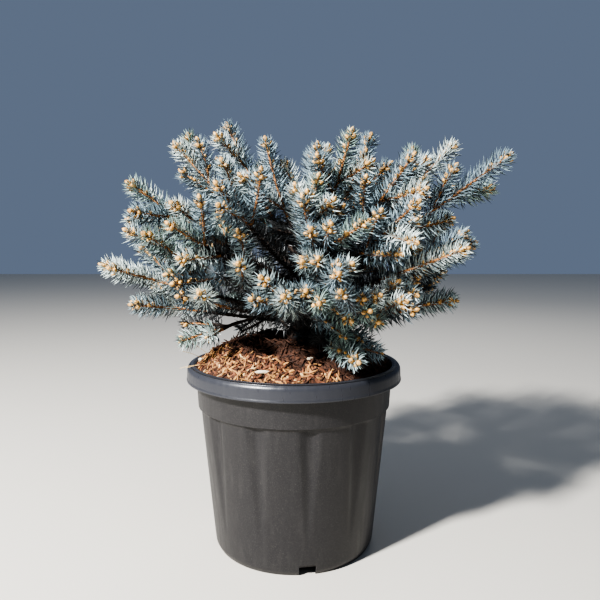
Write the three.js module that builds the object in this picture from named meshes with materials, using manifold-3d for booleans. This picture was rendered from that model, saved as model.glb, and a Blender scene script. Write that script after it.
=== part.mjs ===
// A dwarf blue spruce in a round nursery pot: fluted pot, soil, bark mulch, trunk, boughs and masses of foliage.
// Millimetres, +Z up. The origin is the middle of the pot's flat underside, and -Y is the front.
import * as THREE from "three";
import { mergeVertices } from "three/addons/utils/BufferGeometryUtils.js";
import Module from "manifold-3d";

const wasm = await Module();
wasm.setup();

// Pot: a moulded bucket with a rolled rim, a plain collar and flutes that run out above its foot.
const rimRadius = 150;
const potHeight = 259;
const rimBand = 22;
const standRadius = 108.5;
const standRise = 7;
const bodyFootRadius = 111.8;
const wallThickness = 2.5;
const collarBottom = 201;
const collarFootRadius = 134.3;
const collarTopRadius = 136.5;
const ledge = 2.8;
const fluteCount = 12;
const fluteTurn = 9.3;
const fluteDepth = 5.5;
const fluteRunOut = 38;
const fluteHalfAngle = 7.25;
const potSegments = 60;
const padRadius = 45;
const floorRise = 12;
const notchWidth = 22;
const notchHeight = 13;
const notchCount = 4;

// What fills the pot: soil, and over it a mound of bark mulch.
const soilTop = 222;
const mulchEdge = 256;
const mulchCrown = 292;
const mulchFullness = 2.6;
const mulchFlatRadius = 34;
const mulchSegments = 30;
const mulchRings = 4;
const mulchLump = 3.5;

// Trunk: short and leaning a little to the right, from a flat cut on the mulch to its tip.
const clearance = 0.3;
const trunkFoot = new THREE.Vector3(8, 5, mulchCrown + clearance);
const trunkBend = new THREE.Vector3(8, 6, 340);
const trunkTip = new THREE.Vector3(18, 12, 428);
const trunkFootRadius = 14;
const trunkTipRadius = 5;
const rootFlare = 8;
const flareFade = 14;
const levelFoot = 4;
const trunkSides = 10;

// Foliage: every shoot is a slim woody core that needles stand out of.
const crownCentre = new THREE.Vector3(12, 8, 340);
const boughShare = 0.42;
const boughSides = 6;
const boughFootRadius = 4;
const lowestFoot = 0.16;
const highestFoot = 0.92;
const lowestElevation = -25;
const highestElevation = 80;
const bendOut = 0.36;
const bendOutFirst = 14;
const bendUp = 0.32;
const footShifts = [0, 0.03, -0.03, 0.06, -0.06, 0.09, -0.09, 0.12, -0.12, 0.15, -0.15];
const footRoom = 12;
const footSamples = 24;
const stemRadius = 3;
const shootRadius = 2.2;
const needleLength = 27;
const needleLean = 64;
const shortestNeedle = 6;
const ringStep = 26;
const ringTwist = 40;
const coreSides = 3;
const budRadius = 4.6;
const budLength = 9;
const sideSpacing = 15;
const sideTries = 5;
const firstSideOnBough = 0.12;
const firstSideOnStem = 0.46;
const lastSide = 0.78;
const sideRollSpread = 110;
const sideAngle = 42;
const sideAngleSpread = 14;
const sideCurl = 0.3;
const sideLengthSpread = 0.2;
const longestSide = 88;
const shortestSide = 22;
const sideTaper = 0.62;
const bareShare = 0.22;
const bareSideShare = 0.12;
const potMargin = 2;

// Each mass of foliage, by where its leading shoot ends: azimuth from the front to the right, elevation and reach
// from the middle of the crown, then how many side shoots it has and whether a bough carries it.
const masses = [
  ["top_left", -97, 51, 286, 3, true],
  ["top_back_left", -128, 61, 297, 3, true],
  ["top_mid_left", -100, 77, 232, 2, false],
  ["top_leader", 147, 80, 226, 2, false],
  ["top_front_right", 43, 68, 243, 3, false],
  ["top_mid_right", 105, 67, 254, 2, false],
  ["top_right", 62, 51, 250, 3, false],
  ["top_far_right", 103, 45, 320, 3, true],
  ["top_back_mid_left", -150, 43, 278, 3, true],
  ["top_back_right", 140, 44, 282, 3, true],
  ["top_back", 174, 57, 270, 2, true],
  ["high_front_left", -36, 42, 230, 3, false],
  ["high_front", 2, 46, 200, 3, false],
  ["high_front_right", 45, 35, 232, 3, false],
  ["high_right", 82, 36, 340, 3, true],
  ["high_left", -80, 35, 284, 3, true],
  ["high_back_left", -117, 31, 275, 3, true],
  ["high_back_right", 125, 23, 278, 3, true],
  ["mid_front_left", -52, 28, 230, 3, false],
  ["mid_left", -70, 23, 257, 3, true],
  ["mid_front", 9, 29, 218, 3, false],
  ["mid_right", 62, 19, 240, 3, false],
  ["mid_far_right", 92, 19, 256, 3, true],
  ["mid_back", 178, 29, 254, 2, true],
  ["mid_back_left", -146, 16, 262, 2, true],
  ["low_far_left", -88, 11, 283, 3, true],
  ["mid_back_right", 152, 12, 260, 2, true],
  ["low_front_left", -30, 15, 206, 3, false],
  ["low_front_mid", 10, 14, 222, 3, false],
  ["low_left", -92, 0, 240, 3, false],
  ["low_left_inner", -50, 6, 196, 2, false],
  ["low_front", -6, 8, 203, 3, false],
  ["low_front_right", 22, 3, 197, 3, false],
  ["low_right_inner", 44, 2, 192, 2, false],
  ["low_right", 76, 2, 208, 3, false],
  ["low_back_left", -125, -3, 215, 3, false],
  ["low_back", -170, -4, 205, 2, false],
  ["low_back_right", 130, -4, 210, 3, false],
  ["droop_left", -66, -14, 180, 2, false],
  ["droop_right", 27, -18, 154, 2, false],
];

const up = new THREE.Vector3(0, 0, 1);
const radians = THREE.MathUtils.degToRad;

function solidOf(geometry) {
  const bare = geometry.clone();
  bare.deleteAttribute("normal");
  bare.deleteAttribute("uv");
  const merged = mergeVertices(bare, 1e-4);
  return new wasm.Manifold(
    new wasm.Mesh({
      numProp: 3,
      vertProperties: new Float32Array(merged.attributes.position.array),
      triVerts: new Uint32Array(merged.index.array),
    }),
  );
}

function geometryOf(solid) {
  const { vertProperties, triVerts, numProp } = solid.getMesh();
  const points = [];
  for (let i = 0; i < vertProperties.length; i += numProp) {
    points.push(...vertProperties.subarray(i, i + 3));
  }
  const geometry = new THREE.BufferGeometry();
  geometry.setAttribute("position", new THREE.Float32BufferAttribute(points, 3));
  geometry.setIndex([...triVerts]);
  geometry.computeVertexNormals();
  return geometry;
}

// A turned shape standing on +Z. moved(angle, height, radius) gives the radius that a point is moved to.
function turned(profile, segments, startAngle = 0, moved = null) {
  const points = profile.map(([radius, height]) => new THREE.Vector2(radius, height));
  const geometry = new THREE.LatheGeometry(points, segments, startAngle);
  geometry.rotateX(Math.PI / 2);
  if (moved) {
    const position = geometry.attributes.position;
    for (let i = 0; i < position.count; i++) {
      const radius = Math.hypot(position.getX(i), position.getY(i));
      if (radius < 1e-6) continue;
      const angle = Math.atan2(position.getX(i), -position.getY(i));
      const scale = moved(angle, position.getZ(i), radius) / radius;
      position.setXY(i, position.getX(i) * scale, position.getY(i) * scale);
    }
  }
  return geometry;
}

// How far a flute sinks into the pot's wall at an angle and a height.
function fluteSink(angle, height) {
  if (height < fluteRunOut || height >= collarBottom) return 0;
  const rise = (height - fluteRunOut) / (collarBottom - fluteRunOut);
  const pitch = (2 * Math.PI) / fluteCount;
  const fromCentre = THREE.MathUtils.euclideanModulo(angle - radians(fluteTurn) + pitch / 2, pitch) - pitch / 2;
  const half = radians(fluteHalfAngle);
  if (Math.abs(fromCentre) >= half) return 0;
  return fluteDepth * rise * Math.cos((Math.PI / 2) * (fromCentre / half)) ** 2;
}

function bodyRadius(height) {
  return THREE.MathUtils.lerp(bodyFootRadius, collarFootRadius - ledge, height / collarBottom);
}

const fluted = (angle, height, radius) => (radius > padRadius * 1.5 ? radius - fluteSink(angle, height) : radius);
const fluteRows = [fluteRunOut, collarBottom - 1];

function potGeometry() {
  const skirt = standRadius - wallThickness;
  const inner = wallThickness;
  const lipBottom = potHeight - rimBand;
  const outside = [
    [0, 0],
    [padRadius, 0],
    [padRadius + 2, floorRise],
    [skirt, floorRise],
    [skirt, 0],
    [standRadius, 0],
    [bodyRadius(standRise), standRise],
    ...fluteRows.map((height) => [bodyRadius(height), height]),
    [collarFootRadius, collarBottom],
    [collarTopRadius, lipBottom],
    [rimRadius - 2, lipBottom],
    [rimRadius, lipBottom + 3],
    [rimRadius, potHeight - 7],
    [rimRadius - 5, potHeight],
    [collarTopRadius, potHeight],
  ];
  const inside = [
    [collarTopRadius - inner, potHeight - 3],
    [collarFootRadius - inner, collarBottom + 2],
    ...[...fluteRows].reverse().map((height) => [bodyRadius(height) - inner, height]),
    [bodyRadius(floorRise) - inner, floorRise + inner],
    [padRadius, floorRise + inner],
    [padRadius - inner, inner],
    [0, inner],
  ];
  const shell = solidOf(turned([...outside, ...inside], potSegments, radians(fluteTurn), fluted));
  return geometryOf(notchBoxes().reduce((pot, notch) => pot.subtract(notch), shell));
}

// The drain notches through the pot's foot, one of them under the flute at the front.
function notchBoxes() {
  return Array.from({ length: notchCount }, (_, i) => {
    const angle = radians(fluteTurn) + (i * 2 * Math.PI) / notchCount;
    const box = new THREE.BoxGeometry(notchWidth, 4 * wallThickness, 2 * notchHeight);
    box.translate(0, -standRadius - 1, 0);
    box.rotateZ(angle);
    return solidOf(box);
  });
}

// The same surface facing the other way, with its quads split as before.
function turnedRound(geometry) {
  const corners = geometry.index.array;
  for (let i = 0; i < corners.length; i += 3) {
    [corners[i + 1], corners[i + 2]] = [corners[i + 2], corners[i + 1]];
  }
  return geometry;
}

// The soil's profile runs down, as the pot's inner wall does, so that both split their quads alike.
function soilGeometry() {
  const gap = wallThickness + clearance;
  const profile = [
    [0, floorRise + gap],
    [bodyRadius(floorRise) - gap, floorRise + gap],
    ...fluteRows.map((height) => [bodyRadius(height) - gap, height]),
    [collarFootRadius - gap, collarBottom + 3],
    [collarFootRadius - gap + 1, soilTop],
    [0, soilTop],
  ];
  return turnedRound(turned(profile.reverse(), potSegments, radians(fluteTurn), fluted));
}

// The mound's height over a point, as a dome with lumps that die out at its flat crown and its edge.
function mulchHeight(x, y) {
  const out = Math.hypot(x, y) / (collarTopRadius - wallThickness);
  const flat = mulchFlatRadius / (collarTopRadius - wallThickness);
  if (out <= flat) return mulchCrown;
  const share = Math.min(1, (out - flat) / (1 - flat));
  const dome = THREE.MathUtils.lerp(mulchCrown, mulchEdge, share ** mulchFullness);
  const waves = Math.sin(x / 11 + 1.3) * Math.cos(y / 13 - 0.4) + 0.6 * Math.sin((x + y) / 7.3);
  return dome + mulchLump * waves * Math.sin(Math.PI * share);
}

function mulchGeometry() {
  const edge = (collarTopRadius - wallThickness - clearance) * Math.cos(Math.PI / potSegments) - 1;
  const foot = (collarFootRadius - wallThickness - clearance) * Math.cos(Math.PI / potSegments);
  const profile = [
    [0, soilTop + clearance],
    [foot, soilTop + clearance],
    [edge, mulchEdge],
  ];
  for (let i = mulchRings; i >= 0; i--) {
    profile.push([THREE.MathUtils.lerp(mulchFlatRadius, edge, i / (mulchRings + 1)), mulchEdge + 1]);
  }
  profile.push([0, mulchCrown]);
  const geometry = turned(profile, mulchSegments);
  const position = geometry.attributes.position;
  for (let i = 0; i < position.count; i++) {
    if (position.getZ(i) > mulchEdge) position.setZ(i, mulchHeight(position.getX(i), position.getY(i)));
  }
  return geometry;
}

// A cylinder bent along a curve, with a radius for each share of its length.
function bent(curve, radiusAt, sides, steps) {
  const frames = curve.computeFrenetFrames(steps);
  const geometry = new THREE.CylinderGeometry(1, 1, 1, sides, steps);
  const position = geometry.attributes.position;
  for (let i = 0; i < position.count; i++) {
    const step = Math.round((position.getY(i) + 0.5) * steps);
    const share = step / steps;
    const radius = radiusAt(share);
    const at = curve.getPointAt(share);
    at.addScaledVector(frames.normals[step], -position.getX(i) * radius);
    at.addScaledVector(frames.binormals[step], position.getZ(i) * radius);
    position.setXYZ(i, at.x, at.y, at.z);
  }
  return geometry;
}

const trunkCurve = new THREE.QuadraticBezierCurve3(trunkFoot, trunkBend, trunkTip);
const trunkRadius = (share) =>
  THREE.MathUtils.lerp(trunkFootRadius, trunkTipRadius, share) + rootFlare * Math.exp(-share * flareFade);

// The trunk's foot ring is laid level, so that the cut under it is flat.
function trunkGeometry(extra = 0) {
  const geometry = bent(trunkCurve, (share) => trunkRadius(share) + extra, trunkSides, 9);
  const position = geometry.attributes.position;
  for (let i = 0; i < position.count; i++) {
    if (position.getZ(i) < trunkFoot.z + levelFoot) position.setZ(i, trunkFoot.z - extra);
  }
  return geometry;
}

// A repeatable sequence of numbers from 0 to 1.
function seeded(seed) {
  let state = (seed * 7919 + 17) % 2147483647;
  return () => {
    state = (state * 16807) % 2147483647;
    return state / 2147483647;
  };
}

// The line of a whole limb, from a share of the trunk's axis to the tip of its leading shoot: outwards first, then up.
function limbCurve(azimuth, elevation, reach, foot) {
  const [turn, rise] = [radians(azimuth), radians(elevation)];
  const outward = new THREE.Vector3(Math.sin(turn), -Math.cos(turn), 0);
  const tip = crownCentre
    .clone()
    .addScaledVector(outward, reach * Math.cos(rise))
    .addScaledVector(up, reach * Math.sin(rise));
  const start = trunkCurve.getPoint(foot);
  const level = Math.hypot(tip.x - start.x, tip.y - start.y);
  const bend = start
    .clone()
    .addScaledVector(outward, bendOut * level + bendOutFirst)
    .addScaledVector(up, bendUp * (tip.z - start.z));
  return new THREE.QuadraticBezierCurve3(start, bend, tip);
}

// The two pieces of a bent line on either side of a share of it.
function split(curve, share) {
  const middle = curve.getPoint(share);
  const before = curve.v0.clone().lerp(curve.v1, share);
  const after = curve.v1.clone().lerp(curve.v2, share);
  return [
    new THREE.QuadraticBezierCurve3(curve.v0, before, middle),
    new THREE.QuadraticBezierCurve3(middle, after, curve.v2),
  ];
}

// A side shoot's line: it leaves its stem at a share of it, rolled round it, and bends towards the stem's own way.
function sideCurve(stem, share, roll, angle, length) {
  const from = stem.getPoint(share);
  const along = stem.getTangent(share);
  const across = new THREE.Vector3().crossVectors(along, up);
  if (across.length() < 0.2) across.set(1, 0, 0);
  across.normalize().applyAxisAngle(along, roll);
  const leave = along.clone().applyAxisAngle(new THREE.Vector3().crossVectors(along, across).normalize(), -angle);
  const end = leave.clone().lerp(along, sideCurl).normalize();
  const bend = from.clone().addScaledVector(leave, 0.5 * length);
  return new THREE.QuadraticBezierCurve3(from, bend, bend.clone().addScaledVector(end, 0.5 * length));
}

// A line as short straight pieces, each with its two ends, for measuring the room around it.
function piecesOf(curve, radius = 0) {
  const points = curve.getPoints(Math.max(2, Math.ceil(curve.getLength() / 12)));
  return points.slice(1).map((end, i) => ({ line: new THREE.Line3(points[i], end), radius }));
}

const nearest = new THREE.Vector3();
function roomTo(point, pieces) {
  return pieces.reduce((least, { line, radius }) => {
    line.closestPointToPoint(point, true, nearest);
    return Math.min(least, nearest.distanceTo(point) - radius);
  }, Infinity);
}

// The room over the mulch and beside the pot's rim.
function roomToPot(point) {
  const out = Math.hypot(point.x, point.y);
  if (out < collarTopRadius - 2 * potMargin) return point.z - mulchHeight(point.x, point.y) - potMargin;
  return Math.hypot(Math.max(0, out - rimRadius), Math.max(0, point.z - potHeight)) - potMargin / 2;
}

const trunkPieces = piecesOf(trunkCurve, trunkFootRadius);
const trunkLine = piecesOf(trunkCurve);

// Steeper limbs spring from higher up the trunk, each moved up or down it to where it clears those before it best.
const laid = [];
function clearestLimb(azimuth, elevation, reach) {
  let [best, most] = [null, -Infinity];
  for (const shift of footShifts) {
    const level = THREE.MathUtils.mapLinear(elevation, lowestElevation, highestElevation, lowestFoot, highestFoot);
    const curve = limbCurve(azimuth, elevation, reach, Math.max(lowestFoot, level + shift));
    const outer = curve.getPoints(footSamples).filter((point) => roomTo(point, trunkLine) > trunkTipRadius + boughFootRadius);
    const room = Math.min(footRoom, ...outer.map((point) => roomTo(point, laid)));
    if (room > most) [best, most] = [curve, room];
  }
  laid.push(...piecesOf(best));
  return best;
}

const limbs = masses.map(([name, azimuth, elevation, reach, sides, carried], index) => {
  const whole = clearestLimb(azimuth, elevation, reach);
  const [bough, stem] = carried ? split(whole, boughShare) : [null, whole];
  return { name, index, bough, stem, carried, sides, shoots: [{ curve: stem, from: carried ? 0 : bareShare }] };
});

const othersOf = (limb) =>
  limbs
    .filter((other) => other !== limb)
    .flatMap((other) => other.shoots.flatMap(({ curve }) => piecesOf(curve)));
const boughPieces = limbs.filter((limb) => limb.bough).flatMap((limb) => piecesOf(limb.bough, boughFootRadius));

// Side shoots are added in rounds, so that every mass gets its first before any gets its second.
const draws = limbs.map((limb) => seeded(limb.index + 1));
for (let round = 0; round < Math.max(...limbs.map((limb) => limb.sides)); round++) {
  for (const limb of limbs.filter((each) => round < each.sides)) addSide(limb, round, draws[limb.index]);
}

function addSide(limb, round, draw) {
  const others = othersOf(limb);
  const whole = limb.stem.getLength();
  const first = limb.carried ? firstSideOnBough : firstSideOnStem;
  for (let attempt = 0; attempt < sideTries; attempt++) {
    const share = first + (lastSide - first) * ((round + 0.5 * draw()) / limb.sides);
    const roll = (round % 2 ? Math.PI : 0) + (draw() - 0.5) * radians(sideRollSpread);
    const angle = radians(sideAngle + sideAngleSpread * draw());
    const fullLength = Math.min(longestSide, sideTaper * (1 - share) * whole + shortestSide);
    const length = fullLength * (1 + sideLengthSpread * (draw() - 0.5));
    const curve = sideCurve(limb.stem, share, roll, angle, length);
    const outer = curve.getPoints(6).slice(2);
    const siblings = limb.shoots.slice(1).flatMap((shoot) => piecesOf(shoot.curve));
    const clear = outer.every(
      (point) =>
        roomTo(point, others) > sideSpacing &&
        roomTo(point, siblings) > sideSpacing &&
        roomTo(point, boughPieces) > sideSpacing / 2 &&
        roomToPot(point) > sideSpacing / 2,
    );
    if (clear) {
      limb.shoots.push({ curve, from: bareSideShare });
      return;
    }
  }
}

// How long the needles at a point may be: half way to any other shoot, and short of wood, mulch and pot.
function needleReach(point, limb, shoot, others) {
  const siblings = limb.shoots.filter((other) => other !== shoot).flatMap(({ curve }) => piecesOf(curve));
  return Math.min(
    needleLength,
    roomTo(point, others) / 2 - 0.6,
    roomTo(point, siblings) / 2,
    roomTo(point, boughPieces) - 1,
    roomTo(point, trunkPieces) - 1,
    roomToPot(point),
  );
}

// A shoot as one closed surface: a three-sided core whose faces are drawn out into needles, with a bud on its end.
function shootGeometry(limb, shoot, footRadius) {
  const { curve, from } = shoot;
  const others = othersOf(limb);
  const steps = Math.max(3, Math.round(curve.getLength() / ringStep));
  const frames = curve.computeFrenetFrames(steps);
  const points = [];
  const faces = [];
  const add = (point) => points.push(point) - 1;
  const around = (step, side, radius, ahead = 0) => {
    const angle = (side * 2 * Math.PI) / coreSides + step * radians(ringTwist);
    return curve
      .getPointAt(Math.min(1, step / steps))
      .addScaledVector(frames.normals[Math.min(step, steps)], radius * Math.cos(angle))
      .addScaledVector(frames.binormals[Math.min(step, steps)], radius * Math.sin(angle))
      .addScaledVector(frames.tangents[Math.min(step, steps)], ahead);
  };
  const ring = (step, radius, ahead = 0) =>
    Array.from({ length: coreSides }, (_, side) => add(around(step, side, radius, ahead)));
  const wall = (low, high) => {
    for (let side = 0; side < coreSides; side++) {
      const next = (side + 1) % coreSides;
      faces.push([low[side], low[next], high[next]], [low[side], high[next], high[side]]);
    }
  };
  const fan = (edge, apex, outward) => {
    for (let side = 0; side < coreSides; side++) {
      const next = (side + 1) % coreSides;
      faces.push(outward ? [edge[side], edge[next], apex] : [edge[next], edge[side], apex]);
    }
  };
  const radiusAt = (step) => THREE.MathUtils.lerp(footRadius, shootRadius, step / steps);
  let low = ring(0, radiusAt(0));
  fan(low, add(curve.getPointAt(0)), false);
  for (let step = 0; step < steps; step++) {
    const high = ring(step + 1, radiusAt(step + 1));
    const middle = (step + 0.5) / steps;
    const centre = curve.getPointAt(middle);
    const reach = middle < from ? 0 : needleReach(centre, limb, shoot, others);
    if (reach < shortestNeedle) {
      wall(low, high);
    } else {
      drawNeedles(low, high, centre, curve.getTangentAt(middle), reach);
    }
    low = high;
  }
  const bud = ring(steps, budRadius, budLength * 0.4);
  wall(low, bud);
  fan(bud, add(around(steps, 0, 0, budLength)), true);

  function drawNeedles(lowRing, highRing, centre, along, reach) {
    for (let side = 0; side < coreSides; side++) {
      const next = (side + 1) % coreSides;
      const corners = [lowRing[side], lowRing[next], highRing[next], highRing[side]];
      const middle = corners.reduce((sum, i) => sum.add(points[i]), new THREE.Vector3()).divideScalar(4);
      const out = middle.sub(centre).projectOnPlane(along).normalize();
      const apex = centre
        .clone()
        .addScaledVector(out, reach * Math.sin(radians(needleLean)))
        .addScaledVector(along, reach * Math.cos(radians(needleLean)));
      const tip = add(apex);
      corners.forEach((corner, i) => faces.push([corner, corners[(i + 1) % 4], tip]));
    }
  }

  const geometry = new THREE.BufferGeometry();
  geometry.setAttribute("position", new THREE.Float32BufferAttribute(points.flatMap((p) => p.toArray()), 3));
  geometry.setIndex(faces.flat());
  return geometry;
}

// A mass: its stem and side shoots as one solid, cut clear of the trunk where it springs from it.
function massGeometry(limb) {
  const shoots = limb.shoots.map((shoot, i) => {
    const radius = i ? shootRadius : stemRadius;
    return solidOf(shootGeometry(limb, shoot, radius));
  });
  const joined = shoots.reduce((sum, shoot) => sum.add(shoot));
  return geometryOf(largest(limb.carried ? joined : joined.subtract(clearTrunk)));
}

function boughGeometry(limb) {
  const taper = (share) => THREE.MathUtils.lerp(boughFootRadius, stemRadius + 0.4, share);
  const wood = solidOf(bent(limb.bough, taper, boughSides, 4));
  return geometryOf(largest(wood.subtract(clearTrunk)));
}

const largest = (solid) => solid.decompose().sort((a, b) => b.volume() - a.volume())[0];
const clearTrunk = solidOf(trunkGeometry(clearance));

// A carried stem starts a hair past its bough's tip.
for (const limb of limbs.filter((each) => each.carried)) {
  limb.stem.v0 = limb.stem.v0.clone().addScaledVector(limb.bough.getTangent(1), clearance);
}

const finishes = {
  plastic: new THREE.MeshStandardMaterial({ color: 0x35363a, roughness: 0.5, metalness: 0 }),
  soil: new THREE.MeshStandardMaterial({ color: 0x3a2a1e, roughness: 1, metalness: 0 }),
  mulch: new THREE.MeshStandardMaterial({ color: 0x8a5a38, roughness: 1, metalness: 0 }),
  bark: new THREE.MeshStandardMaterial({ color: 0x6b4a33, roughness: 0.9, metalness: 0 }),
  needles: new THREE.MeshStandardMaterial({ color: 0x8aa5ab, roughness: 0.6, metalness: 0 }),
};

const plant = new THREE.Group();
function addPart(name, geometry, material) {
  const mesh = new THREE.Mesh(geometry, material);
  mesh.name = name;
  plant.add(mesh);
}

addPart("pot", potGeometry(), finishes.plastic);
addPart("soil", soilGeometry(), finishes.soil);
addPart("mulch", mulchGeometry(), finishes.mulch);
addPart("trunk", trunkGeometry(), finishes.bark);
for (const limb of limbs) {
  if (limb.bough) addPart("bough_" + limb.name, boughGeometry(limb), finishes.bark);
  addPart("mass_" + limb.name, massGeometry(limb), finishes.needles);
}

export default plant;
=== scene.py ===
"""A dwarf blue spruce in a fluted nursery pot, dressed around its frame: metres, +Z up, front at -Y."""

import math
from collections import namedtuple

import bmesh
import bpy
import numpy as np
from bpy.props import FloatProperty, FloatVectorProperty, IntProperty, PointerProperty
from mathutils import Matrix, Vector


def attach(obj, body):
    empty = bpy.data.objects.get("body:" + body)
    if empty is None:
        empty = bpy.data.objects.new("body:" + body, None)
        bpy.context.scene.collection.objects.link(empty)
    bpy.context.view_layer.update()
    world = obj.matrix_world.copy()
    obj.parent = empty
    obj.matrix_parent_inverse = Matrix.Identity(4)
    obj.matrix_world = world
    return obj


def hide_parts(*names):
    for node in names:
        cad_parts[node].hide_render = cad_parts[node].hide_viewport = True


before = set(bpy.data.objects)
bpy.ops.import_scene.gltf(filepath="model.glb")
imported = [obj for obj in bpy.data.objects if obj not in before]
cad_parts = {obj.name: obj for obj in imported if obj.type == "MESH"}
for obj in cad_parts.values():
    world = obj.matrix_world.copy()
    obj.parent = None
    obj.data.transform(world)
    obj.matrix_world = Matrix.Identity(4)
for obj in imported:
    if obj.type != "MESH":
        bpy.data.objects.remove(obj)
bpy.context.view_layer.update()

bl_info = {
    "name": "Potted Blue Spruce",
    "version": (1, 0, 0),
    "blender": (4, 5, 0),
    "location": "3D View > Sidebar > Spruce",
    "description": "Grows a dwarf blue spruce in a nursery pot around its construction frame",
    "category": "Object",
}

MM = 0.001
GOLDEN_ANGLE = math.radians(137.508)

# The pot and what fills it, in millimetres, as in the construction.
RIM_RADIUS, POT_HEIGHT, RIM_BAND = 150.0, 259.0, 22.0
STAND_RADIUS, STAND_RISE, BODY_FOOT_RADIUS, WALL = 108.5, 7.0, 111.8, 2.5
COLLAR_BOTTOM, COLLAR_FOOT_RADIUS, COLLAR_TOP_RADIUS, LEDGE = 201.0, 134.3, 136.5, 2.8
FLUTE_RUN_OUT = 38.0
FLUTE_HALF_ANGLE = math.radians(7.25)
PAD_RADIUS, FLOOR_RISE = 45.0, 12.0
NOTCH_WIDTH, NOTCH_HEIGHT, NOTCH_COUNT = 22.0, 13.0, 4
SOIL_TOP, MULCH_EDGE, MULCH_CROWN, MULCH_FULLNESS = 222.0, 256.0, 292.0, 2.6
MULCH_FLAT, MULCH_LUMP = 34.0, 3.5
POT_SEGMENTS, MOUND_SEGMENTS, MOUND_RINGS = 300, 200, 60

# The trunk and the rule that every limb grows by, in millimetres and degrees, as in the construction.
TRUNK = np.array([[8, 5, MULCH_CROWN + 0.3], [8, 6, 340], [18, 12, 428]], float)
TRUNK_FOOT_RADIUS, TRUNK_TIP_RADIUS, ROOT_FLARE, FLARE_FADE = 14.0, 5.0, 8.0, 14
CROWN_CENTRE = np.array([12.0, 8.0, 340.0])
BOUGH_SHARE, BOUGH_FOOT_RADIUS = 0.42, 4.0
LOWEST_FOOT, HIGHEST_FOOT = 0.16, 0.92
LOWEST_ELEVATION, ELEVATION_RANGE = -25, 105
FOOT_SHIFTS = (0, 0.03, -0.03, 0.06, -0.06, 0.09, -0.09, 0.12, -0.12, 0.15, -0.15)
FOOT_ROOM = 12.0
BEND_OUT, BEND_MORE, BEND_UP = 0.36, 14, 0.32
SIDE_SPACING, SIDE_TRIES = 15.0, 5
FIRST_SIDE_ON_BOUGH, FIRST_SIDE, LAST_SIDE = 0.12, 0.46, 0.78
UP = np.array([0.0, 0.0, 1.0])

# How side shoots and twigs grow: spread of their roll, least angle to the stem and how much wider it may
# be, in degrees; longest length, share of the stem's rest and what is added to it; least share of that and
# how it varies.
Growth = namedtuple("Growth", "spread angle wider longest part least shortest varies")
SIDE_GROWTH = Growth(110, 42, 14, 88, 0.62, 22, 0.9, 0.2)
TWIG_GROWTH = Growth(130, 40, 18, 52, 0.42, 20, 0.75, 0.45)

# Where twigs stand on a shoot, in shares of it: the end of the stretch that gives their number, how far
# past its bare part the first stands, what they are spread over, and how far one strays, in spaces.
TWIGS_UNTIL, FIRST_TWIG, TWIG_SPREAD, TWIG_STRAY = 0.9, 0.04, 0.88, 0.6

# Wood radii by rank (stem, side shoot, twig), each at the foot and the tip; the share of each that is bare
# at its foot, unless a bough carries it; the room that twigs and the shoots of the SPRAYS need, and how
# far those bow as a share of their run.
STEM_RADIUS, TWIG_RADIUS = 3.0, 1.3
SHOOT_RADII = ((3.2, 1.7), (2.2, 1.4), (1.5, 1.3))
STEM_BARE, SIDE_BARE, TWIG_BARE = 0.22, 0.12, 0.08
SPRAY_ROOM = TWIG_ROOM = 18.0
SPRAY_BOW = 0.08

# Where the crown is lit and where it is in shade, for painted light and shade: half its sizes, the share of
# them inside which wood takes the nearly black bark and needles the dark tone as painted shade, how far out
# buds stand, how far from the crown's centre a drooping tip is lit and takes a pale tone as painted light,
# and how far out a lit shoot counts as standing at least.
CROWN_HALF, INNER_CROWN, BUD_OUTNESS, LIT_REACH = np.array([275.0, 225.0, 250.0]), 0.5, 0.62, 120.0
LIT_OUTNESS = 0.85

# Hollows between the crown's tiers, where little grows and no sun falls, painted as shade: their shoots take
# the dark needle tones and the nearly black bark. Centre and half sizes in millimetres.
RECESSES = np.array(
    [[-50, -100, 412, 76, 125, 37], [98, -80, 402, 54, 110, 24], [28, -110, 417, 46, 100, 14]], float
)

# The open space over the pot: how low shoots reach in front and at the left, and the x and y up to which
# it is the left; the space at the front left in which old wood is bare; and the share of a drooping stem
# from which it bears needles.
SKIRT_HEIGHT, LEFT_SKIRT_HEIGHT, SKIRT_LEFT, SKIRT_BACK = 322.0, 356.0, -15.0, 50.0
BARE_FOOT, BARE_HEIGHT = 300.0, 329.0
BARE_LEFT, BARE_RIGHT, BARE_BACK = -100.0, -22.0, 60.0
LATE_NEEDLES = {"droop_left": 0.6}

# Needles: their length by rank; how it starts at a shoot's foot and ends at its tip, as shares of the full
# length with the run of each; the same for their lean at the tip; their share of length at the skirt and
# the shortest that grows; the tuft at each tip (its run and share of full length); and the sparser dark
# layer that hangs under the shoots as painted shade (its spacing against the others' and its lift).
RANK_LENGTHS = (1.02, 1.0, 0.88)
FOOT_LENGTH, FOOT_SHARE, TIP_LENGTH, TIP_RUN = 0.75, 0.4, 0.52, 24.0
TIP_LEAN, LEAN_RUN = 0.8, 60.0
SKIRT_LENGTH, LEAST_NEEDLE = 0.55, 4.0
TUFT, TUFT_LENGTH = 13.0, 0.82
UNDER_SPACING, UNDER_LIFT = 1.9, -0.22

# How needles differ from each other: their turn round the shoot and their tilt, in radians, and their
# length; and how far the seeds of the last two are from the first's.
NEEDLE_TURNS, NEEDLE_TILTS, NEEDLE_LENGTHS = (-0.5, 0.5), (-0.2, 0.16), (0.82, 1.08)
SEED_STEPS = (11.0, 23.0)

# Distances between the points of a line of needles and one of wood in millimetres, and the trunk's number.
NEEDLE_STEP, WOOD_STEP, TRUNK_POINTS = 5, 4, 60

# Buds low down and away from the front are shy: small, and one to a tip.
SHY_HEIGHT, SHY_FRONT, SHY_BUD = 336.0, -130.0, 0.6

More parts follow.
